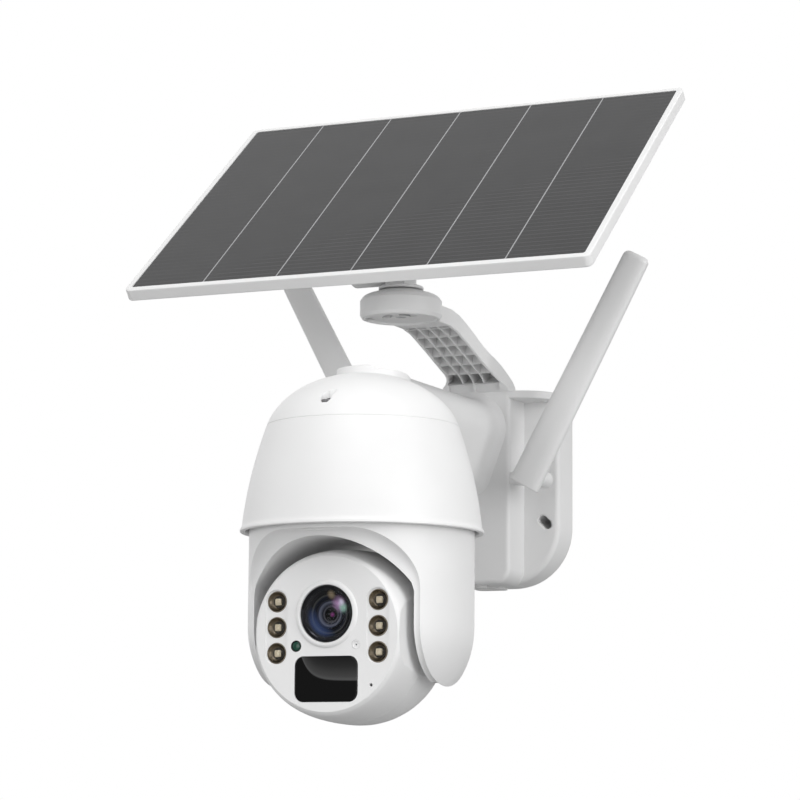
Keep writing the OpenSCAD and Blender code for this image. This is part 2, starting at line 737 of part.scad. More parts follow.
module sensor_board() color(board) at_tilt() {
  block([-17, -face_d + 30, lens_up - 17], [17, -face_d + 31.6, lens_up + 17]);
  block([-6, -face_d + 31.6, lens_up - 6], [6, -face_d + 35, lens_up + 6]);
}

motor_at = tilt_centres * [cos(motor_turn), sin(motor_turn)];
module tilt_motor() color(metal) at_tilt() translate([0, -motor_at[0], motor_at[1]]) {
  rod_x(11.8, 16, 8, 0, 0);
  rod_x(3.5, 1, 24, 0, 0);
}

module tilt_pinion() color(white) at_tilt() translate([26, -motor_at[0], motor_at[1]])
  rotate([0, 90, 0]) gear(pinion_teeth, gear_h, 1.5, 450 - motor_turn);

// ---- solar panel ----

module swivel_base() color(white) translate([0, disc_y, 0]) difference() {
  union() {
    translate([0, 0, crown_z + gap]) cylinder(r = base_r, h = 1.8);
    hull() {
      translate([-6, -8.6, crown_z + gap + 1.2]) cube([12, 17.2, 0.5]);
      rod_x(8, 12, -6, 0, pin_z);
    }
  }
  rod_x(pin_r + fit, 20, -10, 0, pin_z);
  translate([0, 0, crown_z - 1]) cylinder(r = 2.4, h = 9);
}

module swivel_screw() color(metal) translate([0, disc_y, disc_low + 1.4]) {
  cylinder(r = 5.8, h = 2.2);
  cylinder(r = 3, h = crown_z + gap - disc_low - 1.4);
  cylinder(r = 2.4, h = crown_z + gap - disc_low + 4);
}

// The panel's own frame: origin on the pin, Y up the slope, Z out of the glass
module at_panel() translate([0, disc_y, pin_z]) rotate([panel_slope, 0, 0]) children();

module ear(x0, x1, r) slab_x(x0, x1) union() {
  circle(r);
  translate([-r, 0]) square([2 * r, pin_to_back - 4]);
}

module panel_bracket() color(white) at_panel() difference() {
  union() {
    translate([-36, -26, pin_to_back - 4]) cube([72, 64, 4]);
    ear(-28, -6 - gap, ear_r);
    ear(6 + gap, 11, ear_r - 2.7);
  }
  rod_x(pin_r + fit, 60, -30, 0, 0);
  translate([-29, -8.5, -9]) cube([4, 17, 9 + pin_to_back - 8]);
}

module hinge_bolt() color(metal) translate([0, disc_y, pin_z]) {
  rod_x(pin_r, 44, -30, 0, 0);
  rod_x(5, 2.6, 11 + gap, 0, 0);
}

// A flat layer of the panel, z above the frame's underside and inset from its edge
module panel_slab(z, t, inset, r) translate([0, slope_back, pin_to_back + z]) linear_extrude(t)
  rounded(panel_w - 2 * inset, panel_l - 2 * inset, r);

module panel_frame() color(white) at_panel() difference() {
  panel_slab(0, panel_t, 0, 4);
  panel_slab(pan_floor, panel_t, lip_w, 2);
  panel_slab(-1, panel_t, 10, 2);
}

module panel_back() color(shade) at_panel() panel_slab(pan_floor, 2, lip_w + 0.1, 2);

module solar_cells() color([0.10, 0.11, 0.13]) at_panel() panel_slab(pan_floor + 2, 0.6, lip_w + 0.1, 2);

module panel_glass() color([0.2, 0.22, 0.25, 0.35]) at_panel()
  panel_slab(pan_floor + 2.6, 2.8, lip_w + 0.1, 2);

module junction_box() color(dark) at_panel() difference() {
  translate([-22, 52, pin_to_back + pan_floor - 13]) cube([44, 30, 13]);
  translate([-20, 54, pin_to_back + pan_floor - 11]) cube([40, 26, 9]);
}

bracket_shell();
rear_plate();
plate_seal();
plate_screws();
battery_cells();
cell_holder();
charge_board();
port_cover();
power_button();
neck();
panel_arm();
arm_screws();
antenna_posts();
antenna_left();
antenna_right();
radiator_left();
radiator_right();
pivot_screws();
cap_skirt();
cap_top();
cap_screw();
chassis();
pan_bush();
pan_motor();
pan_pinion();
main_board();
speaker();
yoke();
pan_gear();
pan_retainer();
arm_cover_left();
arm_cover_right();
tilt_stub();
tilt_gear();
tilt_bush();
head_front();
head_rear();
tilt_axle();
lens_trim();
lens_barrel();
lens_glass();
led_rings();
led_lamps();
led_board();
pir_window();
pir_sensor();
light_sensor();
microphone();
sensor_board();
tilt_motor();
tilt_pinion();
swivel_base();
swivel_screw();
panel_bracket();
hinge_bolt();
panel_frame();
panel_glass();
solar_cells();
panel_back();
junction_box();
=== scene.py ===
"""Solar-powered security camera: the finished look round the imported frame.

Sizes are in millimetres in the helpers and become metres as they are drawn.
"""
import json
import math
import bpy
from mathutils import Matrix, Vector


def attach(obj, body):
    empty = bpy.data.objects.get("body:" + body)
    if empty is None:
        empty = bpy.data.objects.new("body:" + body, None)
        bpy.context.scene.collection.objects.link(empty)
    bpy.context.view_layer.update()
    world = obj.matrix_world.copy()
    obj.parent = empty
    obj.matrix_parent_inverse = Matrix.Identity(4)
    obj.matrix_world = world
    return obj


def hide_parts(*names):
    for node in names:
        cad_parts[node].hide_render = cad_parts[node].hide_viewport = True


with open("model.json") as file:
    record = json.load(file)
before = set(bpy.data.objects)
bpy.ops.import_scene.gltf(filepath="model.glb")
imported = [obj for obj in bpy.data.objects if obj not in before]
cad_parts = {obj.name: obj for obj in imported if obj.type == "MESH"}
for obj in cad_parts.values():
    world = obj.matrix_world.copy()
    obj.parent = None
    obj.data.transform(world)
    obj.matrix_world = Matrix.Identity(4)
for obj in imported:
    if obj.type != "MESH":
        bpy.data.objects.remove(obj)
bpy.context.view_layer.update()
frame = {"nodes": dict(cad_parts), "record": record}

MM = 0.001
DOME_Y = -194.5          # pan axis
RIM_Z = -50.0            # rim of the cap
TILT_Z = RIM_Z - 55.5    # tilt axis
VIEW = math.radians(24.31)   # the camera's azimuth
SEAM_Z = 57.0            # seam of the cap above its rim
WALL = 2.4
SCREW_Y = -45.0          # recess of the cap's screw, from the pan axis
ARM_X = 46.0             # inner faces of the yoke's arms
YOKE_R = 60
HEAD_R = 46
HEAD_FLAT = 41           # flat sides of the head from its middle
FACE = 42.2              # front of the head from the tilt axis
FACE_R = 40.5
LENS_UP = 10.3
LED_UP = 3.7
TOP = 46.0               # bracket's top and bottom
LOW = -66.0
DISC_Y = -146.3          # middle of the arm's round end
PIN = Vector((0, DISC_Y, 108.0))
SLOPE = math.radians(39)
PANEL_UP = 32.2          # hinge pin to the panel's middle, up the slope
PANEL_OUT = 20.3         # hinge pin to the frame's underside
PIVOT_X, PIVOT_Z = 42.5, -6.0
BLADE_Y = -61.5          # middle of the antenna blades


# ---- drawing helpers ----

def deselect():
    if bpy.context.mode != "OBJECT":
        bpy.ops.object.mode_set(mode="OBJECT")
    bpy.ops.object.select_all(action="DESELECT")


def only(obj):
    """Selects obj alone and makes it active."""
    deselect()
    obj.select_set(True)
    bpy.context.view_layer.objects.active = obj


def rename(name):
    """Names the object that was just added, and its mesh."""
    obj = bpy.context.object
    obj.name = obj.data.name = name
    return obj


def edit(obj, mode="VERT"):
    """Opens obj in edit mode with all of it selected."""
    only(obj)
    bpy.ops.object.mode_set(mode="EDIT")
    bpy.ops.mesh.select_mode(type=mode)
    bpy.ops.mesh.select_all(action="SELECT")


def done():
    bpy.ops.object.mode_set(mode="OBJECT")


def trace(name, points, closed=False):
    """A wire through points (millimetres), drawn by extruding one corner from point to point."""
    deselect()
    bpy.ops.mesh.primitive_plane_add(size=0.001)
    obj = rename(name)
    edit(obj)
    bpy.ops.mesh.merge(type="CENTER")
    at = Vector((0, 0, 0))
    for i, p in enumerate(points):
        step = Vector(p) * MM - at
        if i == 0:
            bpy.ops.transform.translate(value=step)
        else:
            bpy.ops.mesh.extrude_vertices_move(TRANSFORM_OT_translate={"value": step})
        at += step
    if closed:
        bpy.ops.mesh.select_all(action="SELECT")
        bpy.ops.mesh.edge_face_add()
    return obj


def tidy(obj):
    """Merges doubles and turns every face outwards."""
    bpy.ops.mesh.select_all(action="SELECT")
    bpy.ops.mesh.remove_doubles(threshold=2e-6)
    bpy.ops.mesh.normals_make_consistent(inside=False)
    done()
    return obj


def lathe(name, points, steps=128, axis=(0, 0, 1), centre=(0, 0, 0)):
    """Spins a wire of (radius, height) points round the axis through centre."""
    axis, centre = Vector(axis), Vector(centre)
    out = Vector((1, 0, 0)) if abs(axis.x) < 0.5 else Vector((0, 1, 0))
    wire = trace(name, [centre + out * r + axis * h for r, h in points])
    bpy.ops.mesh.select_all(action="SELECT")
    bpy.ops.mesh.spin(steps=steps, angle=2 * math.pi, center=centre * MM, axis=axis)
    return tidy(wire)


def crest(r, z, rise, start, stop, step):
    """Points (radius, height) along an ellipse of radius r and height rise that stands on z."""
    turns = [math.radians(a) for a in range(start, stop, step)]
    return [(r * math.cos(a), z + rise * math.sin(a)) for a in turns]


def prism(name, points, push):
    """A closed outline (millimetres) extruded along push."""
    obj = trace(name, points, closed=True)
    bpy.ops.mesh.extrude_region_move(TRANSFORM_OT_translate={"value": Vector(push) * MM})
    return tidy(obj)


def skin(name, rows):
    """A grid whose lines are moved onto rows of points (millimetres), all of the same length."""
    deselect()
    bpy.ops.mesh.primitive_grid_add(size=1, x_subdivisions=len(rows[0]) - 1, y_subdivisions=len(rows) - 1)
    obj = rename(name)
    for v in obj.data.vertices:
        i = round((v.co.x + 0.5) * (len(rows[0]) - 1))
        j = round((v.co.y + 0.5) * (len(rows) - 1))
        v.co = Vector(rows[j][i]) * MM
    edit(obj)
    return tidy(obj)


def close_ends(obj):
    """Fills the open ends of a skin that is closed round."""
    edit(obj, "EDGE")
    bpy.ops.mesh.select_all(action="DESELECT")
    bpy.ops.mesh.select_non_manifold()
    bpy.ops.mesh.edge_face_add()
    return tidy(obj)


def settle(obj):
    """Moves the object's own place and turn into its mesh."""
    only(obj)
    bpy.ops.object.transform_apply(location=True, rotation=True, scale=True)
    return obj


def tube(name, radius, length, at, axis=(0, 0, 1), sides=48, end=None):
    """A cylinder, or a cone if end is given, from at along axis."""
    axis = Vector(axis).normalized()
    deselect()
    bpy.ops.mesh.primitive_cone_add(
        vertices=sides, radius1=radius * MM, radius2=(radius if end is None else end) * MM, depth=length * MM,
        location=(Vector(at) + axis * length / 2) * MM, rotation=axis.to_track_quat("Z", "Y").to_euler())
    return settle(rename(name))


def block(name, low, high):
    """A box between two corners."""
    low, high = Vector(low), Vector(high)
    deselect()
    bpy.ops.mesh.primitive_cube_add(size=MM, location=(low + high) / 2 * MM, scale=high - low)
    return settle(rename(name))


def modify(obj, kind, **settings):
    """Adds a modifier with its settings and applies it."""
    only(obj)
    modifier = obj.modifiers.new(kind.title(), kind)
    for key, value in settings.items():
        setattr(modifier, key, value)
    bpy.ops.object.modifier_apply(modifier=modifier.name)
    return obj


def combine(obj, *others, operation="UNION"):
    """Runs a boolean with each of the others, which are used up."""
    for other in others:
        modify(obj, "BOOLEAN", operation=operation, object=other, solver="EXACT")
        bpy.data.objects.remove(other)
    return obj


def cut(obj, *others):
    return combine(obj, *others, operation="DIFFERENCE")


def join(obj, *others):
    only(obj)
    for other in others:
        other.select_set(True)
    bpy.ops.object.join()
    return obj


def copy(obj, name, shift):
    """A copy with its own mesh, moved by shift (millimetres)."""
    only(obj)
    bpy.ops.object.duplicate()
    twin = rename(name)
    edit(twin)
    bpy.ops.transform.translate(value=Vector(shift) * MM)
    done()
    return twin


def round_edges(obj, width, segments=3, angle=32):
    """Rounds the edges that are sharper than angle."""
    modify(obj, "BEVEL", width=width * MM, segments=segments, limit_method="ANGLE",
           angle_limit=math.radians(angle), miter_outer="MITER_ARC", use_clamp_overlap=True)
    return obj


def smooth(obj, angle=32):
    """Shades obj smooth but for edges sharper than angle."""
    only(obj)
    bpy.ops.object.shade_smooth_by_angle(angle=math.radians(angle))
    modify(obj, "WEIGHTED_NORMAL", keep_sharp=True, weight=60)
    return obj


def piece(obj, material, body, *stands_for):
    """Gives a finished piece its material and the body it rides on, and hides the imported nodes it stands
    for.
    """
    obj.data.materials.clear()
    obj.data.materials.append(material)
    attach(obj, body)
    if stands_for:
        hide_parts(*stands_for)
    return obj


def dome(x, y, z):
    """A point given from the pan axis and the rim of the cap."""
    return Vector((x, y + DOME_Y, z + RIM_Z))


def tilt(x, y, z):
    """A point given from the middle of the tilt axis."""
    return Vector((x, y + DOME_Y, z + TILT_Z))


# ---- cap ----

def skirt_r(z):
    """Radius of the skirt at a height above the rim."""
    return 64.3 - 0.092 * z - 0.0023 * z * z


def crown_r(z):
    """Radius of the cap's top at a height above the rim."""
    return 53.1 * math.sqrt(max(0, 1 - ((z - 48) / 38) ** 2))


def make_cap(white):
    """The skirt with its flared lip, and the top with the split boss and the screw recess."""
    heights = [4 + 5.285 * i for i in range(11)]
    outer = [(62.8, 0), (64.6, 0), (65, 0.4), (65, 1.3), (64.7, 1.9), (64.2, 2.6)]
    outer += [(skirt_r(z), z) for z in heights] + [(skirt_r(SEAM_Z) - 0.3, SEAM_Z)]
    inner = [(skirt_r(z) - WALL, z) for z in [SEAM_Z, 44, 30, 16, 4]] + [(62.2, 0.6), (62.8, 0)]
    skirt = lathe("cap_skirt_skin", outer + inner, 160, centre=dome(0, 0, 0))
    cut(skirt, tube("cable_hole", 4.5, 30, dome(0, 38, 49), (0, 1, 0)))
    piece(smooth(skirt), white, "root", "cap_skirt")

    angles = [14.5 + 5 * i for i in range(15)]
    crown = [(crown_r(SEAM_Z) - 0.3, SEAM_Z)]
    crown += [(53.1 * math.cos(math.radians(a)), 48 + 38 * math.sin(math.radians(a))) for a in angles]
    inside = crest(53.1 * 0.955, 46.6, 37, 82, 15, -6)
    top = lathe("cap_top_skin", crown + [(0, 86), (0, 83.6)] + inside + crown[:1], 160, centre=dome(0, 0, 0))
    boss = tube("cap_boss", 20, 7.2, dome(0, 13, 82.8), sides=128)
    round_edges(boss, 1.1, 3)
    combine(top, boss)
    across = Vector((math.cos(VIEW), math.sin(VIEW), 0))
    steps = [(-2.6, 90.2), (2.2, 87.6), (3.2, 88.4), (14, 87.4), (17.8, 86.6), (20.6, 85), (30, 84), (30, 96),
             (-2.6, 96)]
    away = Vector((-math.sin(VIEW), math.cos(VIEW), 0))
    cut(top, prism("boss_split", [dome(0, 13, z) + across * u - away * 30 for u, z in steps], away * 60))
    recess = tube("recess", 3.1, 16, dome(0, SCREW_Y, 64.5))
    run_out = tube("run_out", 2.2, 6.5, dome(0.4, SCREW_Y + 0.5, 68.2), (0.5, 0.35, 0.8), end=1.9)
    cut(top, recess, run_out)
    piece(smooth(top, 28), white, "root", "cap_top")

    head = tube("cap_screw_head", 2.7, 1.6, dome(0, SCREW_Y, 64.6), sides=40)
    round_edges(head, 0.3, 2)
    slots = [block("slot", dome(-1.7, SCREW_Y - 0.3, 65.4), dome(1.7, SCREW_Y + 0.3, 67)),
             block("slot", dome(-0.3, SCREW_Y - 1.7, 65.4), dome(0.3, SCREW_Y + 1.7, 67))]
    cut(head, *slots)
    # the screw takes the darkened steel: painted shade in its recess
    piece(smooth(head), FINISH["screw_steel"], "root", "cap_screw")


# ---- yoke ----

def yoke_r(z, inset=0):
    """Radius of the yoke's outside: a cylinder over an ellipsoid."""
    r = YOKE_R - inset
    return r if z > -50 else r * math.sqrt(max(0, 1 - ((z + 50) / (55 - inset)) ** 2))


def yoke_edges():
    """Matching points (x, z) up the outer and the inner edge of the bevel round the opening."""
    outer, inner = [], []
    for i in range(15):
        turn = math.cos(math.radians(90 * i / 14))
        outer.append((49.2, -50 - 31.46 * turn))
        inner.append((ARM_X, -50 - 29.75 * turn))
    for i in range(1, 5):
        outer.append((49.2, -50 + 18 * i / 4))
        inner.append((ARM_X, -50 + 16.2 * i / 4))
    start = math.degrees(math.acos(ARM_X / 54))
    corner, flat = 18, 8
    for i in range(1, corner + flat + 1):
        if i <= corner:
            a = math.radians(90 * i / corner)
            outer.append((19.2 + 30 * math.cos(a), -32 + 30 * math.sin(a)))
            share = 0.71 * i / corner
        else:
            outer.append((19.2 * (1 - (i - corner) / flat), -2))
            share = 0.71 + 0.29 * (i - corner) / flat
        a = math.radians(start + (90 - start) * share)
        inner.append((54 * math.cos(a), -59.5 + 54 * math.sin(a)))
    return outer, inner


def make_yoke(white):
    """The two arms and the deck as one skin: outside, bevel round the opening, and inside."""
    outer, inner = yoke_edges()
    around = 40

    def hoop(r, x, z):
        reach = math.acos(max(-1, min(1, x / r))) if r > x else 0
        return [dome(r * math.cos(reach * s), r * math.sin(reach * s), z)
                for s in [2 * i / around - 1 for i in range(around + 1)]]

    rows = [hoop(max(yoke_r(z), x + 1e-4), x, z) for x, z in outer]
    deck = ((YOKE_R, 0.5), (YOKE_R, 2.4), (59.4, 3), (57.4, 3), (57.4, -3), (12.4, -3))
    rows += [hoop(r, 0, z) for r, z in deck]
    outside = skin("yoke_skin", rows)

    def front(points, inset):
        return [Vector((x, -math.sqrt(max(0, yoke_r(z, inset) ** 2 - x * x)), z)) for x, z in points]

    lip, throat = front(outer, 0), front(inner, 2.4)
    for i, p in enumerate(throat[18:]):
        p.y += 3.5 * math.sin(math.radians(min(90, 9 * i)))
    hollow = []
    for share in (0, 0.25, 0.5, 0.75, 1):
        sag = 0.22 * 4 * share * (1 - share)
        row = []
        for a, b in zip(lip, throat):
            wide = (a - b).length
            row.append(dome(*(a.lerp(b, share) + Vector((0, sag * wide * 0.55, sag * wide * 0.4)))))
        hollow.append(row)
    bevel = skin("yoke_bevel", hollow)
    back = skin("yoke_bevel_back", [[Vector((p.x, 2 * DOME_Y - p.y, p.z)) for p in row] for row in hollow])
    within = skin("yoke_inside", [[dome(p.x, p.y * (1 - s / 6), p.z) for p in throat] for s in range(13)])
    join(outside, bevel, back, within)
    modify(outside, "MIRROR", use_axis=(True, False, False), merge_threshold=2e-5)
    edit(outside)
    tidy(outside)
    round_edges(outside, 0.45, 2, 25)
    piece(smooth(outside, 24), white, "yoke", "yoke", "arm_cover_left", "arm_cover_right")


# ---- head ----

def head_r(y):
    """Radius of the head at y along the lens axis."""
    if y > 0:
        return HEAD_R * math.sqrt(max(0, 1 - (y / HEAD_R) ** 2))
    return FACE_R + (HEAD_R - FACE_R) * math.sqrt(max(0, 1 - (y / FACE) ** 2))


def flatten(obj, x, side):
    """Slices obj off flat beyond x, on the side given as -1 or 1."""
    edit(obj)
    bpy.ops.mesh.bisect(plane_co=(x * MM, 0, 0), plane_no=(side, 0, 0), use_fill=True, clear_outer=True)
    done()


def slab(name, width, height, radius, depth, at):
    """A flat block facing -Y with rounded corners, its front centre at a point."""
    corners = []
    for x, z, start in ((1, 1, 0), (-1, 1, 90), (-1, -1, 180), (1, -1, 270)):
        for i in range(9):
            a = math.radians(start + 90 * i / 8)
            corners.append(Vector(at) + Vector((x * (width / 2 - radius) + radius * math.cos(a), 0,
                                                z * (height / 2 - radius) + radius * math.sin(a))))
    return prism(name, corners, (0, depth, 0))


def make_head(white):
    """The front shell with its openings and the rear shell, both hollow and flat at the sides."""
    forward = (0, -1, 0)
    front = [(head_r(-y) - 0.3, y) if y == 16 else (head_r(-y), y)
             for y in (16, 16.3, 19, 23, 27, 31, 34, 36.5, 38.5, 40, 41)]
    face = [(40.9, 41.7), (40.3, FACE), (36, FACE), (0, FACE)]
    shell = lathe("head_front_skin", front + face + [(0, 16), (front[0][0], 16)], 144, forward, tilt(0, 0, 0))
    core = lathe("core", [(0, FACE - WALL), (38, FACE - WALL), (41, 36), (42.6, 26), (43.2, 12), (0, 12),
                          (0, FACE - WALL)], 96, forward, tilt(0, 0, 0))
    for side in (-1, 1):
        flatten(shell, HEAD_FLAT * side, side)
        flatten(core, (HEAD_FLAT - WALL) * side, side)
    round_edges(shell, 0.35, 2, 30)
    holes = [tube("hole", 14.9, 8, tilt(0, -FACE - 3, LENS_UP), (0, 1, 0), 96)]
    holes += [slab("strip", 12.6, 39.4, 6.25, 1.8, tilt(x, -FACE - 1, LED_UP)) for x in (-29, 29)]
    holes += [slab("hole", 36.2, 23.7, 5, 6, tilt(0, -FACE - 3, -23.3))]
    holes += [tube("hole", r, 6, tilt(x, -FACE - 3, z), (0, 1, 0), 40)
              for r, x, z in ((3, -17.4, -6.2), (2.45, 16.9, -5.8), (0.9, 25.6, -26.6))]
    holes += [tube("hole", 5.55, 6, tilt(x, -FACE - 2, LED_UP + dz), (0, 1, 0), 48)
              for x in (-29, 29) for dz in (-13.4, 0, 13.4)]
    cut(shell, core, *holes)
    piece(smooth(shell, 28), white, "head", "head_front")

    rear = [(head_r(-16) - 0.3, 16), (head_r(-15.7), 15.7)] + [(head_r(y), -y) for y in (-12, -8, -4, 0)]
    rear += crest(HEAD_R, 0, -HEAD_R, 5, 90, 5) + [(0, -HEAD_R), (0, 16), (head_r(-16) - 0.3, 16)]
    shell = lathe("head_rear_skin", rear, 144, forward, tilt(0, 0, 0))
    bowl = [(0, 20), (43.2, 20), (43.5, 0)] + crest(43.6, 0, -43.6, 10, 90, 10) + [(0, -43.6), (0, 20)]
    core = lathe("core", bowl, 96, forward, tilt(0, 0, 0))
    for side in (-1, 1):
        flatten(shell, HEAD_FLAT * side, side)
        flatten(core, (HEAD_FLAT - WALL) * side, side)
    round_edges(shell, 0.35, 2, 30)
    cut(shell, core, tube("bore", 8.1, 100, tilt(-50, 0, 0), (1, 0, 0)))
    piece(smooth(shell, 28), white, "head", "head_rear")


def on_face(points):
    """Points (radius, height) measured from the tilt axis, given from the front of the head."""
    return [(r, FACE + h) for r, h in points]


def make_lens(black):
    """Raised ring, bezel with steps, the dark cone behind the front glass, and the glass."""
    middle, forward = tilt(0, 0, LENS_UP), (0, -1, 0)
    trim = on_face([(14.9, -2), (14.9, 0.5), (15.2, 1.0), (15.9, 1.15), (16.8, 0.95), (17.4, 0.45),
                    (17.7, 0.05), (18.6, 0.02), (18.6, -0.3), (15.5, -2), (14.9, -2)])
    ring = lathe("lens_trim_ring", trim, 128, forward, middle)
    piece(smooth(ring, 40), FINISH["white_shell"], "head", "lens_trim")
    bezel = on_face([(14.8, -6), (14.8, 0.25), (14.6, 0.5), (14.1, 0.5), (13.9, 0.3), (13.6, -0.5),
                     (13.3, -0.5), (13.3, -1.4), (12.8, -1.6), (12.8, -2.4), (12.4, -2.6), (12.4, -3.6),
                     (12.4, -6), (14.8, -6)])
    piece(smooth(lathe("lens_bezel", bezel, 128, forward, middle), 40), black, "head")
    cone = on_face([(12.7, -2.2), (11.6, -2.6), (11.3, -3.1), (10.9, -2.9), (10.2, -3.3), (8.4, -4.4),
                    (7.6, -4.5), (7.2, -4.1), (6.2, -4.2), (5.8, -4.8), (4.6, -5.4), (4.2, -5.2), (3.6, -5.6),
                    (3.2, -7), (0, -7)])
    piece(smooth(lathe("lens_cone", cone, 128, forward, middle), 50), lens_rings(), "head", "lens_barrel")
    dome_glass = [(13.4, -0.9), (13.3, -0.4)] + crest(13.3, -0.4, 2.6, 10, 90, 10) + [(0, 2.2), (0, 0.9)]
    dome_glass += crest(13.3, -0.9, 1.8, 80, 0, -16) + [(13.4, -0.9)]
    front = lathe("lens_front", on_face(dome_glass), 128, forward, middle)
    piece(smooth(front, 60), coated_glass(), "head", "lens_glass")


def make_lamps():
    """Six lamps: a turned reflector cup, a dark seat, a square chip and a clear drop over it."""
    forward = (0, -1, 0)
    cup = on_face([(5.5, -2.6), (5.5, -0.85), (5.35, -0.6), (5.0, -0.6), (4.85, -1.0), (4.5, -1.6),
                   (4.0, -2.3), (3.4, -2.9), (3.1, -3.0), (3.1, -3.4), (5.5, -2.6)])
    first = tilt(-29, 0, LED_UP - 13.4)
    ring = smooth(lathe("lamp_cup", cup, 64, forward, first), 40)
    foot = on_face([(3.3, -3.3), (3.3, -3.0), (2.6, -2.8), (0, -2.8), (0, -3.3)])
    seat = smooth(lathe("lamp_seat", foot, 48, forward, first), 40)
    corner = Vector((1.6, -FACE + 2.9, 1.6))
    chip = block("lamp_chip", first + Vector((-1.6, -FACE + 1.9, -1.6)), first + corner)
    round_edges(chip, 0.35, 3)
    smooth(chip)
    bead = [(2.9, -2.85)] + crest(2.9, -2.85, 1.9, 15, 90, 15) + [(0, -0.95), (0, -2.85), (2.9, -2.85)]
    drop = smooth(lathe("lamp_lens", on_face(bead), 48, forward, first), 60)
    finishes = ((ring, "reflector"), (seat, "black_part"), (chip, "lamp"), (drop, "clear"))
    nodes = {"lamp_cup": ["led_rings"], "lamp_chip": ["led_lamps"]}
    for column in (0, 1):
        for row in (0, 1, 2):
            for obj, finish in finishes:
                if column == row == 0:
                    piece(obj, FINISH[finish], "head", *nodes.get(obj.name, []))
                else:
                    twin = copy(obj, f"{obj.name}_{column}{row}", (58 * column, 0, 13.4 * row))
                    piece(twin, FINISH[finish], "head")


def make_sensors(white):
    """The infrared window, the light sensor and the microphone."""
    window = slab("window_plate", 36, 23.5, 4.9, 2.2, tilt(0, -FACE - 0.1, -23.3))
    round_edges(window, 0.7, 4)
    piece(smooth(window, 40), window_glass(), "head", "pir_window")
    forward, at = (0, -1, 0), tilt(-17.4, 0, -6.2)
    rim = on_face([(2.95, -2), (2.95, 0.05), (2.7, 0.12), (2.5, -0.05), (2.5, -2), (2.95, -2)])
    piece(smooth(lathe("sensor_rim", rim, 48, forward, at)), FINISH["black_part"], "head")
    eye = on_face([(2.5, -0.6)] + crest(2.5, -0.6, 0.7, 15, 91, 15) + [(0, -2), (2.5, -2), (2.5, -0.6)])
    eye = lathe("sensor_eye", eye, 48, forward, at)
    piece(smooth(eye, 50), FINISH["green_window"], "head", "light_sensor")
    disc = on_face([(0.45, -1.5), (0.45, -0.35), (1.5, -0.35), (1.75, -0.1), (2.2, -0.1), (2.4, -0.3),
                    (2.4, -2), (0.45, -1.5)])
    disc = lathe("mic_disc", disc, 48, forward, tilt(16.9, 0, -5.8))
    piece(smooth(disc, 35), white, "head", "microphone")


# ---- bracket ----

def arc(cx, cz, r, start, end, steps):
    """Points (x, z) round part of a circle."""
    return [(cx + r * math.cos(math.radians(start + (end - start) * i / steps)),
             cz + r * math.sin(math.radians(start + (end - start) * i / steps))) for i in range(steps + 1)]


def outline(half, low, high, low_r, top_r):
    """A plate outline with round corners, large ones below."""
    points = arc(half - top_r, high - top_r, top_r, 0, 90, 6)
    points += arc(-half + top_r, high - top_r, top_r, 90, 180, 6)
    points += arc(-half + low_r, low + low_r, low_r, 180, 270, 20)
    return points + arc(half - low_r, low + low_r, low_r, 270, 360, 20)


def round_front(obj, y, width, steps=5):
    """Rounds the edges that lie in the plane at y (millimetres)."""
    edit(obj, "EDGE")
    bpy.ops.mesh.select_all(action="DESELECT")
    done()
    points = obj.data.vertices
    for edge in obj.data.edges:
        edge.select = all(abs(points[v].co.y - y * MM) < 1e-6 for v in edge.vertices)
    bpy.ops.object.mode_set(mode="EDIT")
    bpy.ops.mesh.bevel(offset=width * MM, segments=steps, affect="EDGES")
    done()
    return obj


def make_bracket(white):
    """Back box, battery housing and shelf in one moulding, with its holes."""
    box = prism("bracket_box", [(x, -22.5, z) for x, z in outline(46, LOW, TOP, 35, 4)], (0, 20, 0))
    round_front(box, -22.5, 3.2)
    housing = prism("housing", [(x, -45.5, z) for x, z in outline(24, LOW, TOP, 9, 3.5)], (0, 40, 0))
    round_front(housing, -45.5, 2.6)
    plan = [(46, -6), (46, -22.5)] + [(24 + x, y) for x, y in crest(22, -22.5, -22.6, 6, 91, 6)]
    plan += [(-x, y) for x, y in reversed(plan)]
    shelf = prism("shelf", [(x, y, TOP - 4.5) for x, y in plan], (0, 0, 4.5))
    round_edges(shelf, 0.9, 3, 60)
    combine(box, housing, shelf)
    for x in (-1, 1):
        for z in (-1, 1):
            at = Vector((37 * x, -24, 29 * z))
            for name, r, deep in (("hole", 2.6, 20), ("lead", 3.4, 2.1)):
                around = [at + Vector((c, 0, s)) for c, s in slot_outline(r, 4.2, 45 * x * z)]
                cut(box, prism(name, around, (0, deep, 0)))
        for r, long, z in ((2.6, 8, TOP - 6), (3.9, 1.6, TOP - 5.4)):
            cut(box, tube("drain", r, long, (36 * x, -27, z)))
    below = (0, -34, LOW - 1)
    cut(box, tube("button_hole", 5.3, 6, below), tube("button_dish", 7.4, 1.6, below, end=6.4))
    piece(smooth(box, 28), white, "root", "bracket_shell")
    ring = lathe("drain_ring", [(2.6, -1.2), (3.6, -1.2), (3.75, -1.0), (3.75, 0), (2.6, 0), (2.6, -1.2)], 48,
                 centre=(36, -27, TOP - 3.9))
    for obj in (ring, copy(ring, "drain_ring_left", (-72, 0, 0))):
        piece(smooth(obj), white, "root")


def slot_outline(r, length, turn):
    """Points (x, z) of a slot about the origin."""
    ends = arc(length / 2, 0, r, -90, 90, 12) + arc(-length / 2, 0, r, 90, 270, 12)
    c, s = math.cos(math.radians(turn)), math.sin(math.radians(turn))
    return [(x * c - z * s, x * s + z * c) for x, z in ends]


def neck_outline(grow, steps=72):
    """Points (x, z) of the neck's section: a large circle over a small one, drawn larger by grow."""
    high, low, reach = 17 + grow, 7.5 + grow, 27
    lean = math.degrees(math.asin((high - low) / reach))
    side = steps // 2
    upper = arc(0, 24, high, -lean, 180 + lean, side)
    return upper + arc(0, -3, low, 180 + lean, 360 - lean, side) + upper[:1]


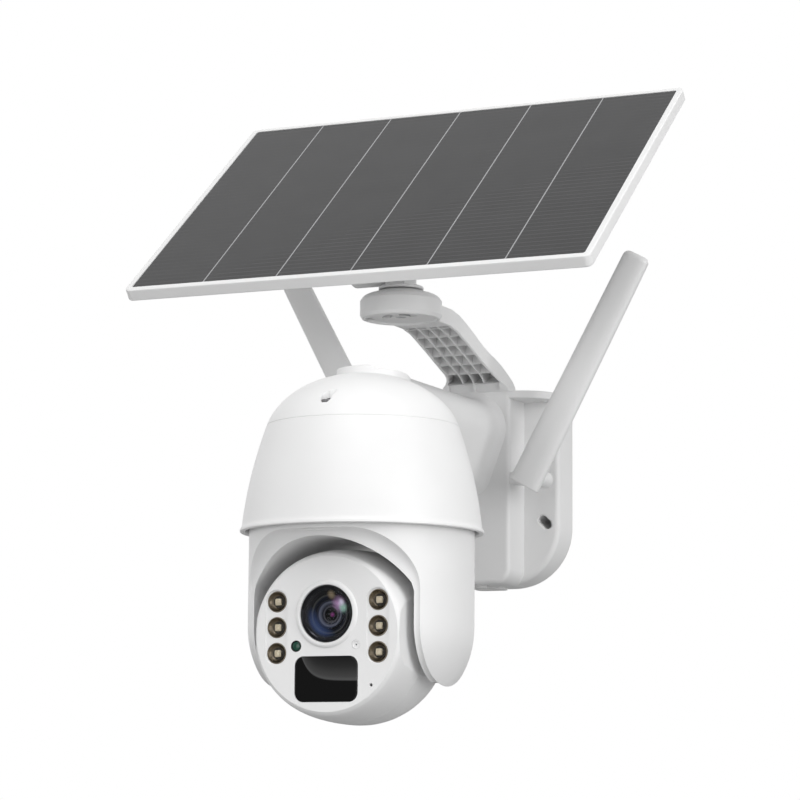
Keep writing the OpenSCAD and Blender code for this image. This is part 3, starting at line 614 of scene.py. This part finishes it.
def make_neck(white):
    """The tube from the housing to the dome: it flares where it starts and is hollowed to fit the cap."""
    rows = []
    for y, grow in ((-44.8, 5.4), (-45.6, 4.6), (-46.4, 3.4), (-47.6, 2.2), (-49.4, 1.1), (-52, 0.35),
                    (-56, 0), (-80, 0), (-110, 0), (-135, 0), (-150, 0), (-178, 0)):
        rows.append([(x, y, z) for x, z in neck_outline(grow)])
    neck = skin("neck_skin", rows)
    close_ends(neck)
    form = [(0, 10)] + [(skirt_r(z) - 0.3, z) for z in (10, 20, 30, 40, 50, SEAM_Z)]
    form += crest(52.8, 48, 37.7, 16, 90, 6) + [(0, 85.7), (0, 10)]
    cap_form = lathe("cap_form", form, 96, centre=dome(0, 0, 0))
    cut(neck, cap_form, tube("boss_form", 19.9, 20, dome(0, 13, 76), sides=96))
    piece(smooth(neck, 30), white, "root", "neck")


# ---- panel arm ----

def eased(stations):
    """Rounds off a list of stations by cutting its corners; both ends stay."""
    cut_list = [stations[0]]
    for a, b in zip(stations, stations[1:]):
        cut_list += [tuple(p * 0.75 + q * 0.25 for p, q in zip(a, b)),
                     tuple(p * 0.25 + q * 0.75 for p, q in zip(a, b))]
    return cut_list + [stations[-1]]


# stations down the arm: y and z of its upper edge, y and z of its lower edge, half its width
ARM = eased([(-128, 84, -128, 74.2, 15), (-103, 84, -106.5, 74.2, 15), (-81, 77, -84.5, 67.5, 15),
             (-61.5, 69.2, -60.5, 59.2, 15), (-39.5, 63.8, -48, 55.5, 15.2), (-32.6, 58.6, -43, 52.4, 17.2),
             (-30.2, 51.6, -41.2, 49, 21.2), (-30.2, 46, -41.2, 46, 22.2)])


def bar(name, stations, deck=0.0, sides=0.0, below=0.0):
    """A square bar through the stations, thinner at the top and sides and deeper below as asked."""
    rows = []
    for ty, tz, ly, lz, half in stations:
        top, low = Vector((0, ty, tz)), Vector((0, ly, lz))
        down = (low - top).normalized()
        top, low = top + down * deck, low + down * below
        w = Vector((half - sides, 0, 0))
        rows.append([top - w, top + w, low + w, low - w, top - w])
    obj = skin(name, rows)
    return close_ends(obj)


def make_arm(white):
    """The ribbed arm and the round end that carries the panel's swivel."""
    arm = round_edges(bar("arm_skin", ARM), 0.9, 3, 40)
    pocket = bar("pocket", ARM[2:-4], 1.6, 1.5, 3)
    ribs = [block("rib", (x - 0.35, -130, 40), (x + 0.35, -30, 90)) for x in (-6.6, 0, 6.6)]
    for i in range(6):
        rib = block("rib", (-16, -105 + i * 11.2, 40), (16, -104.3 + i * 11.2, 90))
        low = bar("rib_edge", ARM, 0.5, -2, -1.1)
        ribs.append(combine(rib, low, operation="INTERSECT"))
    cut(pocket, *ribs)
    foot = [block("foot", (x, -44, 47.4), (x + 15.4, -39.6, 51.8)) for x in (-16, 0.6)]
    cut(arm, pocket, *foot)
    piece(smooth(arm, 30), white, "root", "panel_arm")

    rim = [(3.1, 74.4), (9.6, 74.4), (19.6, 74.4), (19.9, 73.6), (20.6, 73.2), (21.6, 73.5), (22.7, 75.2),
           (22.7, 83.2), (22.4, 83.7)]
    rim += crest(21.9, 84, 5.4, 0, 58, 6) + [(11, 89.4), (3.1, 89.4), (3.1, 78), (3.1, 74.4)]
    disc = lathe("disc_skin", rim, 128, centre=(0, DISC_Y, 0))
    slots = []
    for start in (184, 284):
        slots.append(prism("slot", [(x, DISC_Y + y, 73) for x, y in arc(0, 0, 10.6, start, start + 72, 12)
                                    + arc(0, 0, 5.4, start + 72, start, 12)], (0, 0, 9)))
    for x in (-20.2, 15.8):
        slots.append(block("notch", (x, DISC_Y - 5, 72.8), (x + 4.4, DISC_Y + 1, 81)))
    cut(disc, *slots)
    piece(smooth(disc, 32), white, "root")


# ---- antennas ----

def rounder(share):
    """Turns a circle's sine or cosine into that of a squarer curve."""
    return math.copysign(abs(share) ** 0.72, share)


def make_antenna(white, side, name, node):
    """A blade of rounded section on its knuckle, leaning outwards."""
    stations = [(-6.5, 9.0, 3.6), (-6.2, 9.3, 3.9), (-5.6, 9.35, 4)]
    stations += [(z, 9.35 - 1.3 * z / 137, 4) for z in (8, 40, 72, 104, 128)]
    stations += [(136.4 + 3.6 * math.sin(math.radians(a)), 4.6 + 3.4 * math.cos(math.radians(a)),
                  1.6 + 2.4 * math.cos(math.radians(a))) for a in range(4, 90, 12)]
    rows = []
    for z, half, thick in [(-6.5, 0.02, 0.02)] + stations + [(140, 0.02, 0.02)]:
        rows.append([Vector((half * rounder(math.cos(a)), thick * rounder(math.sin(a)), z))
                     for a in (math.radians(7.5 * i) for i in range(49))])
    at = Vector((side * PIVOT_X, BLADE_Y, PIVOT_Z))
    turn = Matrix.Rotation(math.radians(side * 28.3), 4, "Y")
    blade = skin(name, [[at + turn @ p for p in row] for row in rows])
    smooth(blade, 40)
    joint = [(2.1, -2), (5, -2), (5, -4.6), (4.4, -4.9), (4.4, -5.5), (5, -5.8), (5, -12.8), (4.5, -13.4),
             (2.1, -13.4), (2.1, -2)]
    knuckle = lathe("knuckle", joint, 64, (0, -1, 0), at)
    piece(join(blade, smooth(knuckle)), white, node, node)
    sleeve = [(2.1, 36), (4.5, 36), (5, 36.5), (5, 47.2), (4.5, 47.7), (2.1, 47.7), (2.1, 36)]
    post_at = Vector((side * PIVOT_X, 0, PIVOT_Z))
    post = lathe(name.replace("blade", "post"), sleeve, 64, (0, -1, 0), post_at)
    low, high = sorted((side * 23, side * PIVOT_X))
    lug = block("lug", (low, -44.5, PIVOT_Z - 3), (high, -36, PIVOT_Z + 4.5))
    round_edges(lug, 0.8, 2)
    combine(post, cut(lug, tube("bore", 2.1, 20, (side * PIVOT_X, -50, PIVOT_Z), (0, 1, 0))))
    piece(smooth(post), white, "root", *(["antenna_posts"] if side > 0 else []))


# ---- solar panel ----

def sloped(x, y, z):
    """A point given from the hinge pin: y up the slope, z out of the glass."""
    c, s = math.cos(SLOPE), math.sin(SLOPE)
    return PIN + Vector((x, y * c - z * s, y * s + z * c))


def panel_plate(name, width, length, radius, low, thick):
    """A layer of the panel with rounded corners, low above the frame's underside."""
    points = [sloped(x, PANEL_UP + y, PANEL_OUT + low) for x, y in
              outline(width / 2, -length / 2, length / 2, radius, radius)]
    return prism(name, points, sloped(0, 0, thick) - PIN)


def ear_outline(r):
    """Points (y, z) of a hinge ear: round below the pin, straight up to the plate."""
    return crest(r, 0, r, 180, 361, 10) + [(r, PANEL_OUT - 2.2), (-r, PANEL_OUT - 2.2)]


def make_panel(white):
    """The frame, the cell face, the back sheet and junction box, the hinge plate, its bolt and the swivel."""
    frame_piece = panel_plate("frame_skin", 274, 198.5, 4, 0, 7)
    round_edges(frame_piece, 0.8, 3, 40)
    pocket = panel_plate("pocket", 267, 191.5, 1.5, 1.4, 8)
    cut(frame_piece, pocket, panel_plate("window", 254, 178.5, 2, -1, 5))
    piece(smooth(frame_piece), white, "panel", "panel_frame")
    face = round_edges(panel_plate("cell_face", 266.9, 191.4, 1.5, 3.4, 3.3), 0.25, 2, 40)
    piece(smooth(face), cell_face(), "panel", "panel_glass", "solar_cells")
    back = panel_plate("back_sheet_skin", 266.9, 191.4, 1.5, 1.45, 1.9)
    round_edges(back, 0.2, 2)
    piece(smooth(back), FINISH["back_sheet"], "panel", "panel_back")
    box = prism("junction_skin", [sloped(x, 67 + y, PANEL_OUT + 1.4) for x, y in outline(22, -15, 15, 3, 3)],
                sloped(0, 0, -13) - PIN)
    round_edges(box, 1.2, 3, 40)
    piece(smooth(box), FINISH["white_part"], "panel", "junction_box")

    plate = prism("hinge_plate", [sloped(x, 6 + y, PANEL_OUT) for x, y in outline(36, -32, 32, 5, 5)],
                  sloped(0, 0, -4) - PIN)
    round_edges(plate, 0.8, 3, 40)
    wide, thin = [prism(name, [sloped(x, y, z) for y, z in ear_outline(r)], (long, 0, 0))
                  for name, x, long, r in (("ear_wide", -28, 21.7, 15.2), ("ear_thin", 6.3, 4.7, 12.5))]
    combine(plate, wide, thin)
    cut(plate, tube("pin_hole", 2.55, 60, PIN - Vector((30, 0, 0)), (1, 0, 0)))
    piece(smooth(plate), white, "panel", "panel_bracket")
    shank = [(0, -30), (2.3, -30), (2.5, -29.7), (2.5, 11.2), (5, 11.2), (5.2, 11.5), (5.2, 12.6),
             (4.4, 13.8), (2.6, 14.3), (2.2, 13.2), (0, 13.2)]
    bolt = lathe("bolt_skin", shank, 48, (1, 0, 0), PIN)
    piece(smooth(bolt), FINISH["steel"], "swivel", "hinge_bolt")

    collar = [(2.5, 89.7), (12.2, 89.7), (12.5, 90), (12.5, 91), (12, 91.5), (2.5, 91.5), (2.5, 89.7)]
    base = lathe("swivel_skin", collar, 96, centre=(0, DISC_Y, 0))
    lug = crest(7.6, PIN.z, 7.6, 0, 181, 10) + [(-7.8, 95), (-8.6, 90.8), (8.6, 90.8), (7.8, 95)]
    tongue = prism("tongue", [(-6, DISC_Y + y, z) for y, z in lug], (12, 0, 0))
    round_edges(tongue, 0.6, 2, 50)
    combine(base, tongue)
    cut(base, tube("pin_hole", 2.55, 30, PIN - Vector((15, 0, 0)), (1, 0, 0)))
    piece(smooth(base), white, "swivel", "swivel_base")


# ---- camera, light and floor ----

def make_camera():
    """A long lens from low on the right, looking slightly up."""
    bpy.ops.object.camera_add(location=(0.6451, -1.5748, -0.1934))
    camera = bpy.context.object
    azimuth, rise, roll = VIEW, math.radians(8.05), math.radians(-0.44)
    level = math.cos(rise)
    forward = Vector((-math.sin(azimuth) * level, math.cos(azimuth) * level, math.sin(rise)))
    camera.rotation_mode = "QUATERNION"
    look = forward.to_track_quat("-Z", "Y").to_matrix()
    camera.rotation_quaternion = (look @ Matrix.Rotation(-roll, 3, "Z")).to_quaternion()
    camera.data.sensor_width = 36
    camera.data.lens = 129.24
    camera.data.clip_start, camera.data.clip_end = 0.05, 50
    bpy.context.scene.camera = camera


def area_light(name, place, target, size, power):
    bpy.ops.object.light_add(type="AREA", location=place)
    light = bpy.context.object
    light.name = name
    light.data.shape = "RECTANGLE"
    light.data.size, light.data.size_y = size
    light.data.energy = power
    light.rotation_mode = "QUATERNION"
    light.rotation_quaternion = (Vector(target) - Vector(place)).to_track_quat("-Z", "Y")


def make_light():
    """A white studio, brightest behind the object, with soft boxes above, in front and at both sides."""
    world = bpy.data.worlds.new("studio")
    bpy.context.scene.world = world
    world.use_nodes = True
    nodes, links = world.node_tree.nodes, world.node_tree.links
    place = nodes.new("ShaderNodeTexCoord")
    across = nodes.new("ShaderNodeVectorMath")
    across.operation = "DOT_PRODUCT"
    across.inputs[1].default_value = (-0.41, 0.90, 0.14)
    links.new(place.outputs["Generated"], across.inputs[0])
    ramp = nodes.new("ShaderNodeMapRange")
    ramp.inputs["From Min"].default_value = 0.4
    ramp.inputs["From Max"].default_value = 0.96
    ramp.inputs["To Min"].default_value = 0.40
    ramp.inputs["To Max"].default_value = 1.0
    links.new(across.outputs["Value"], ramp.inputs["Value"])
    background = nodes["Background"]
    links.new(ramp.outputs[0], background.inputs["Color"])
    background.inputs["Strength"].default_value = 1.0
    middle = (0, -0.15, 0)
    area_light("key", (0.35, -1.2, 1.5), middle, (1.5, 1.5), 18)
    area_light("fill", (-0.2, -2.4, -0.1), middle, (1.4, 1.4), 12)
    area_light("left", (-2.0, -0.9, 0.4), middle, (1.2, 1.6), 7)
    area_light("side", (1.9, -0.8, 0.3), middle, (1.2, 1.6), 22)
    bpy.ops.mesh.primitive_plane_add(size=12, location=(0, 0, -0.42))
    floor = rename("floor")
    floor.data.materials.append(paint("floor_paint", (0.38, 0.38, 0.38), 0.9))
    view = bpy.context.scene.view_settings
    view.view_transform = "Standard"
    view.look = "None"


# ---- materials ----

def paint(name, colour, roughness, bump=0.0, scale=900, variation=0.03, **more):
    """A moulded or painted finish: a fine grain in the surface and a slight, broad change of tone."""
    material = bpy.data.materials.new(name)
    material.use_nodes = True
    nodes, links = material.node_tree.nodes, material.node_tree.links
    shader = nodes["Principled BSDF"]
    place = nodes.new("ShaderNodeTexCoord")
    broad = nodes.new("ShaderNodeTexNoise")
    broad.inputs["Scale"].default_value = 14
    broad.inputs["Detail"].default_value = 3
    links.new(place.outputs["Object"], broad.inputs["Vector"])
    ramp = nodes.new("ShaderNodeValToRGB")
    for element, factor in zip(ramp.color_ramp.elements, (1 - variation, 1 + variation)):
        element.color = [min(1, c * factor) for c in colour] + [1]
    ramp.color_ramp.elements[0].position = 0.3
    ramp.color_ramp.elements[1].position = 0.7
    links.new(broad.outputs["Fac"], ramp.inputs["Fac"])
    links.new(ramp.outputs["Color"], shader.inputs["Base Color"])
    rough = nodes.new("ShaderNodeMapRange")
    rough.inputs["To Min"].default_value = roughness - 0.04
    rough.inputs["To Max"].default_value = roughness + 0.04
    links.new(broad.outputs["Fac"], rough.inputs["Value"])
    links.new(rough.outputs[0], shader.inputs["Roughness"])
    if bump:
        grain = nodes.new("ShaderNodeTexNoise")
        grain.inputs["Scale"].default_value = scale
        grain.inputs["Detail"].default_value = 2
        links.new(place.outputs["Object"], grain.inputs["Vector"])
        relief = nodes.new("ShaderNodeBump")
        relief.inputs["Strength"].default_value = bump
        relief.inputs["Distance"].default_value = 0.0002
        links.new(grain.outputs["Fac"], relief.inputs["Height"])
        links.new(relief.outputs["Normal"], shader.inputs["Normal"])
    for key, value in more.items():
        shader.inputs[key.replace("_", " ")].default_value = value
    return material


def node_tools(material):
    """The material's nodes and links, and short ways to add a node and a sum."""
    nodes, links = material.node_tree.nodes, material.node_tree.links

    def add(kind, **settings):
        node = nodes.new(kind)
        for key, value in settings.items():
            setattr(node, key, value)
        return node

    def sum_of(operation, a, b):
        node = add("ShaderNodeMath", operation=operation)
        for socket, value in zip(node.inputs, (a, b)):
            if isinstance(value, (int, float)):
                socket.default_value = value
            else:
                links.new(value, socket)
        return node.outputs[0]

    return nodes, links, add, sum_of


def ramp_of(add, links, factor, stops, interpolation="LINEAR"):
    """A colour ramp with the given (position, grey or colour) stops."""
    ramp = add("ShaderNodeValToRGB")
    ramp.color_ramp.interpolation = interpolation
    elements = ramp.color_ramp.elements
    while len(elements) < len(stops):
        elements.new(0.5)
    for element, (position, colour) in zip(elements, stops):
        element.position = position
        element.color = (colour, colour, colour, 1) if isinstance(colour, (int, float)) else (*colour, 1)
    links.new(factor, ramp.inputs["Fac"])
    return ramp.outputs["Color"]


def cell_face():
    """Dark cells behind glass: thin light seams between six columns and fine lines across them."""
    material = bpy.data.materials.new("cell_face")
    material.use_nodes = True
    nodes, links, add, sum_of = node_tools(material)
    place = add("ShaderNodeTexCoord")
    split = add("ShaderNodeSeparateXYZ")
    links.new(place.outputs["Object"], split.inputs[0])
    climb = add("ShaderNodeVectorMath", operation="DOT_PRODUCT")
    climb.inputs[1].default_value = (0, math.cos(SLOPE), math.sin(SLOPE))
    links.new(place.outputs["Object"], climb.inputs[0])
    start = PIN.y * math.cos(SLOPE) + PIN.z * math.sin(SLOPE) + PANEL_UP

    def lines(value, offset, pitch, width):
        share = sum_of("DIVIDE", sum_of("SUBTRACT", value, offset * MM), pitch * MM)
        away = sum_of("ABSOLUTE", sum_of("SUBTRACT", sum_of("FRACT", share, 0), 0.5), 0)
        return sum_of("GREATER_THAN", away, 0.5 - width / pitch / 2)

    columns = lines(split.outputs["X"], 0, 267 / 6, 0.75)
    rows = lines(climb.outputs["Value"], start, 191.5 / 44, 0.4)
    grain = add("ShaderNodeTexNoise")
    grain.inputs["Scale"].default_value = 55
    grain.inputs["Detail"].default_value = 6
    links.new(place.outputs["Object"], grain.inputs["Vector"])
    darks = ((0.3, (0.010, 0.010, 0.011)), (0.7, (0.017, 0.017, 0.018)))
    cells = ramp_of(add, links, grain.outputs["Fac"], darks)
    lined = add("ShaderNodeMix", data_type="RGBA")
    links.new(rows, lined.inputs["Factor"])
    links.new(cells, lined.inputs["A"])
    lined.inputs["B"].default_value = (0.055, 0.055, 0.058, 1)
    seamed = add("ShaderNodeMix", data_type="RGBA")
    links.new(columns, seamed.inputs["Factor"])
    links.new(lined.outputs["Result"], seamed.inputs["A"])
    seamed.inputs["B"].default_value = (0.34, 0.34, 0.35, 1)
    shader = nodes["Principled BSDF"]
    links.new(seamed.outputs["Result"], shader.inputs["Base Color"])
    shader.inputs["Roughness"].default_value = 0.22
    shader.inputs["Coat Weight"].default_value = 0.15
    shader.inputs["Coat Roughness"].default_value = 0.08
    return material


def lens_rings():
    """The stepped rings behind the front glass, coloured by their distance from the lens axis, with the
    coating's reflections painted on: a violet middle, a blue band on the lower side and coloured glare spots.
    """
    material = bpy.data.materials.new("lens_rings")
    material.use_nodes = True
    nodes, links, add, sum_of = node_tools(material)
    place = add("ShaderNodeTexCoord")
    split = add("ShaderNodeSeparateXYZ")
    links.new(place.outputs["Object"], split.inputs[0])
    up = sum_of("SUBTRACT", split.outputs["Z"], (TILT_Z + LENS_UP) * MM)
    radius = sum_of("SQRT", sum_of("ADD", sum_of("MULTIPLY", split.outputs["X"], split.outputs["X"]),
                                   sum_of("MULTIPLY", up, up)), 0)
    share = sum_of("DIVIDE", radius, 13 * MM)
    # the rings' own tones by radius, with a painted violet coating reflection at the middle
    colour = ramp_of(add, links, share, (
        (0, (0.30, 0.03, 0.22)), (0.06, (0.16, 0.02, 0.12)), (0.11, 0.002), (0.27, 0.002),
        (0.30, (0.10, 0.10, 0.11)), (0.36, (0.01, 0.01, 0.014)), (0.47, (0.13, 0.14, 0.17)),
        (0.52, (0.03, 0.035, 0.05)), (0.56, 0.003), (0.70, (0.006, 0.008, 0.016)), (0.76, (0.08, 0.08, 0.07)),
        (0.80, 0.004), (0.93, (0.03, 0.03, 0.028))))
    along = split.outputs["X"]
    # painted blue coating reflection: a band over the middle rings, on the lower-left side only
    corner = sum_of("MULTIPLY", sum_of("ADD", sum_of("ADD", along, up), 4 * MM), -60.0)
    lower = ramp_of(add, links, corner, ((0.1, 0), (0.9, 1)))
    band = ramp_of(add, links, share, ((0.35, 0), (0.62, 1), (0.8, 1), (0.95, 0)))
    painted_blue_reflection = add("ShaderNodeMix", data_type="RGBA")
    links.new(sum_of("MULTIPLY", lower, band), painted_blue_reflection.inputs["Factor"])
    links.new(colour, painted_blue_reflection.inputs["A"])
    painted_blue_reflection.inputs["B"].default_value = (0.06, 0.10, 0.22, 1)
    colour = painted_blue_reflection.outputs["Result"]
    # painted glare spots: violet, green, white and bronze reflections and a highlight at fixed places on the
    # rings
    for cx, cz, size, glare_colour in ((5.0, 5.2, 5.4, (0.62, 0.36, 0.58)), (7.4, 3.4, 3.6, (0.40, 0.70, 0.52)),
                               (6.4, 6.2, 2.6, (1.0, 0.95, 1.0)), (1.0, 10.0, 3.0, (0.40, 0.31, 0.18))):
        dx, dz = sum_of("SUBTRACT", along, cx * MM), sum_of("SUBTRACT", up, cz * MM)
        away = sum_of("SQRT", sum_of("ADD", sum_of("MULTIPLY", dx, dx), sum_of("MULTIPLY", dz, dz)), 0)
        spot = ramp_of(add, links, sum_of("DIVIDE", away, size * MM), ((0.1, 0.85), (1.0, 0)), "EASE")
        painted_glare = add("ShaderNodeMix", data_type="RGBA")
        links.new(spot, painted_glare.inputs["Factor"])
        links.new(colour, painted_glare.inputs["A"])
        painted_glare.inputs["B"].default_value = (*glare_colour, 1)
        colour = painted_glare.outputs["Result"]
    shader = nodes["Principled BSDF"]
    links.new(colour, shader.inputs["Base Color"])
    shader.inputs["Roughness"].default_value = 0.4
    shader.inputs["Specular IOR Level"].default_value = 0.08
    return material


def coated_glass():
    """Front glass, clear with a faint blue tint; the violet, green and blue that its coating throws are
    painted reflections on the rings behind it.
    """
    material = bpy.data.materials.new("coated_glass")
    material.use_nodes = True
    nodes, links, add, _ = node_tools(material)
    place = add("ShaderNodeTexCoord")
    haze = add("ShaderNodeTexNoise")
    haze.inputs["Scale"].default_value = 60
    links.new(place.outputs["Object"], haze.inputs["Vector"])
    shader = nodes["Principled BSDF"]
    rough = add("ShaderNodeMapRange")
    rough.inputs["To Min"].default_value = 0.0
    rough.inputs["To Max"].default_value = 0.015
    links.new(haze.outputs["Fac"], rough.inputs["Value"])
    links.new(rough.outputs[0], shader.inputs["Roughness"])
    shader.inputs["Base Color"].default_value = (0.93, 0.94, 1.0, 1)
    shader.inputs["Transmission Weight"].default_value = 1.0
    shader.inputs["IOR"].default_value = 1.12
    return material


def window_glass():
    """Black window with a painted reflection: greyer above a curve, as where it mirrors the sky."""
    material = bpy.data.materials.new("window_glass")
    material.use_nodes = True
    nodes, links, add, sum_of = node_tools(material)
    place = add("ShaderNodeTexCoord")
    split = add("ShaderNodeSeparateXYZ")
    links.new(place.outputs["Object"], split.inputs[0])
    x, z = split.outputs["X"], split.outputs["Z"]
    fall = sum_of("EXPONENT", sum_of("MULTIPLY", sum_of("ADD", x, 0.0135), -1 / (5 * MM)), 0)
    above = sum_of("SUBTRACT", z, (TILT_Z - 24.6) * MM)
    height = sum_of("SUBTRACT", above, sum_of("MULTIPLY", fall, 11 * MM))
    share = sum_of("DIVIDE", height, 15 * MM)
    # painted reflection: grey just above the curve, fading to black higher up, black below it
    greys = ((0.0, 0.002), (0.05, 0.075), (0.16, 0.05), (0.5, 0.02), (0.9, 0.004))
    colour = ramp_of(add, links, share, greys)
    shader = nodes["Principled BSDF"]
    links.new(colour, shader.inputs["Base Color"])
    shader.inputs["Roughness"].default_value = 0.05
    shader.inputs["Specular IOR Level"].default_value = 0.2
    return material


make_camera()
make_light()
FINISH = {
    "white_shell": paint("white_shell", (0.80, 0.80, 0.80), 0.42, bump=0.12, Specular_IOR_Level=0.35),
    "white_part": paint("white_part", (0.76, 0.76, 0.755), 0.5, bump=0.2),
    "black_part": paint("black_part", (0.012, 0.012, 0.013), 0.45, bump=0.15),
    "black_gloss": paint("black_gloss", (0.006, 0.006, 0.007), 0.08),
    "rubber": paint("rubber", (0.55, 0.55, 0.55), 0.75, bump=0.3),
    "steel": paint("steel", (0.55, 0.56, 0.57), 0.3, bump=0.1, Metallic=1.0),
    # darker copy of steel: painted shade, so the screw sitting deep in its recess does not show bright
    "screw_steel": paint("screw_steel", (0.2, 0.2, 0.205), 0.4, Metallic=1.0),
    "brass": paint("brass", (0.62, 0.46, 0.20), 0.3, Metallic=1.0),
    "board": paint("board", (0.02, 0.11, 0.05), 0.4),
    "cell": paint("cell", (0.03, 0.12, 0.34), 0.3),
    "lens": paint("lens", (0.02, 0.02, 0.03), 0.04),
    "reflector": paint("reflector", (0.22, 0.19, 0.15), 0.28, Metallic=1.0),
    "lamp": paint("lamp", (0.98, 0.90, 0.74), 0.3),
    "green_window": paint("green_window", (0.004, 0.05, 0.03), 0.15),
    "clear": paint("clear", (0.95, 0.9, 0.8), 0.05, Transmission_Weight=1.0),
    "gear": paint("gear", (0.72, 0.71, 0.66), 0.4),
    "panel_glass": paint("panel_glass", (0.02, 0.02, 0.022), 0.2),
    "cells": paint("cells", (0.02, 0.02, 0.022), 0.3),
    "back_sheet": paint("back_sheet", (0.72, 0.72, 0.72), 0.6),
}
for part in frame["record"]["subparts"]:
    node = frame["nodes"][part["node"]]
    node.data.materials.clear()
    node.data.materials.append(FINISH[part["material_slot"]])

white = FINISH["white_shell"]
make_cap(white)
make_yoke(white)
make_head(white)
make_lens(FINISH["black_gloss"])
make_lamps()
make_sensors(white)
make_bracket(white)
make_neck(white)
make_arm(white)
make_antenna(white, 1, "blade_right", "antenna_right")
make_antenna(white, -1, "blade_left", "antenna_left")
make_panel(white)
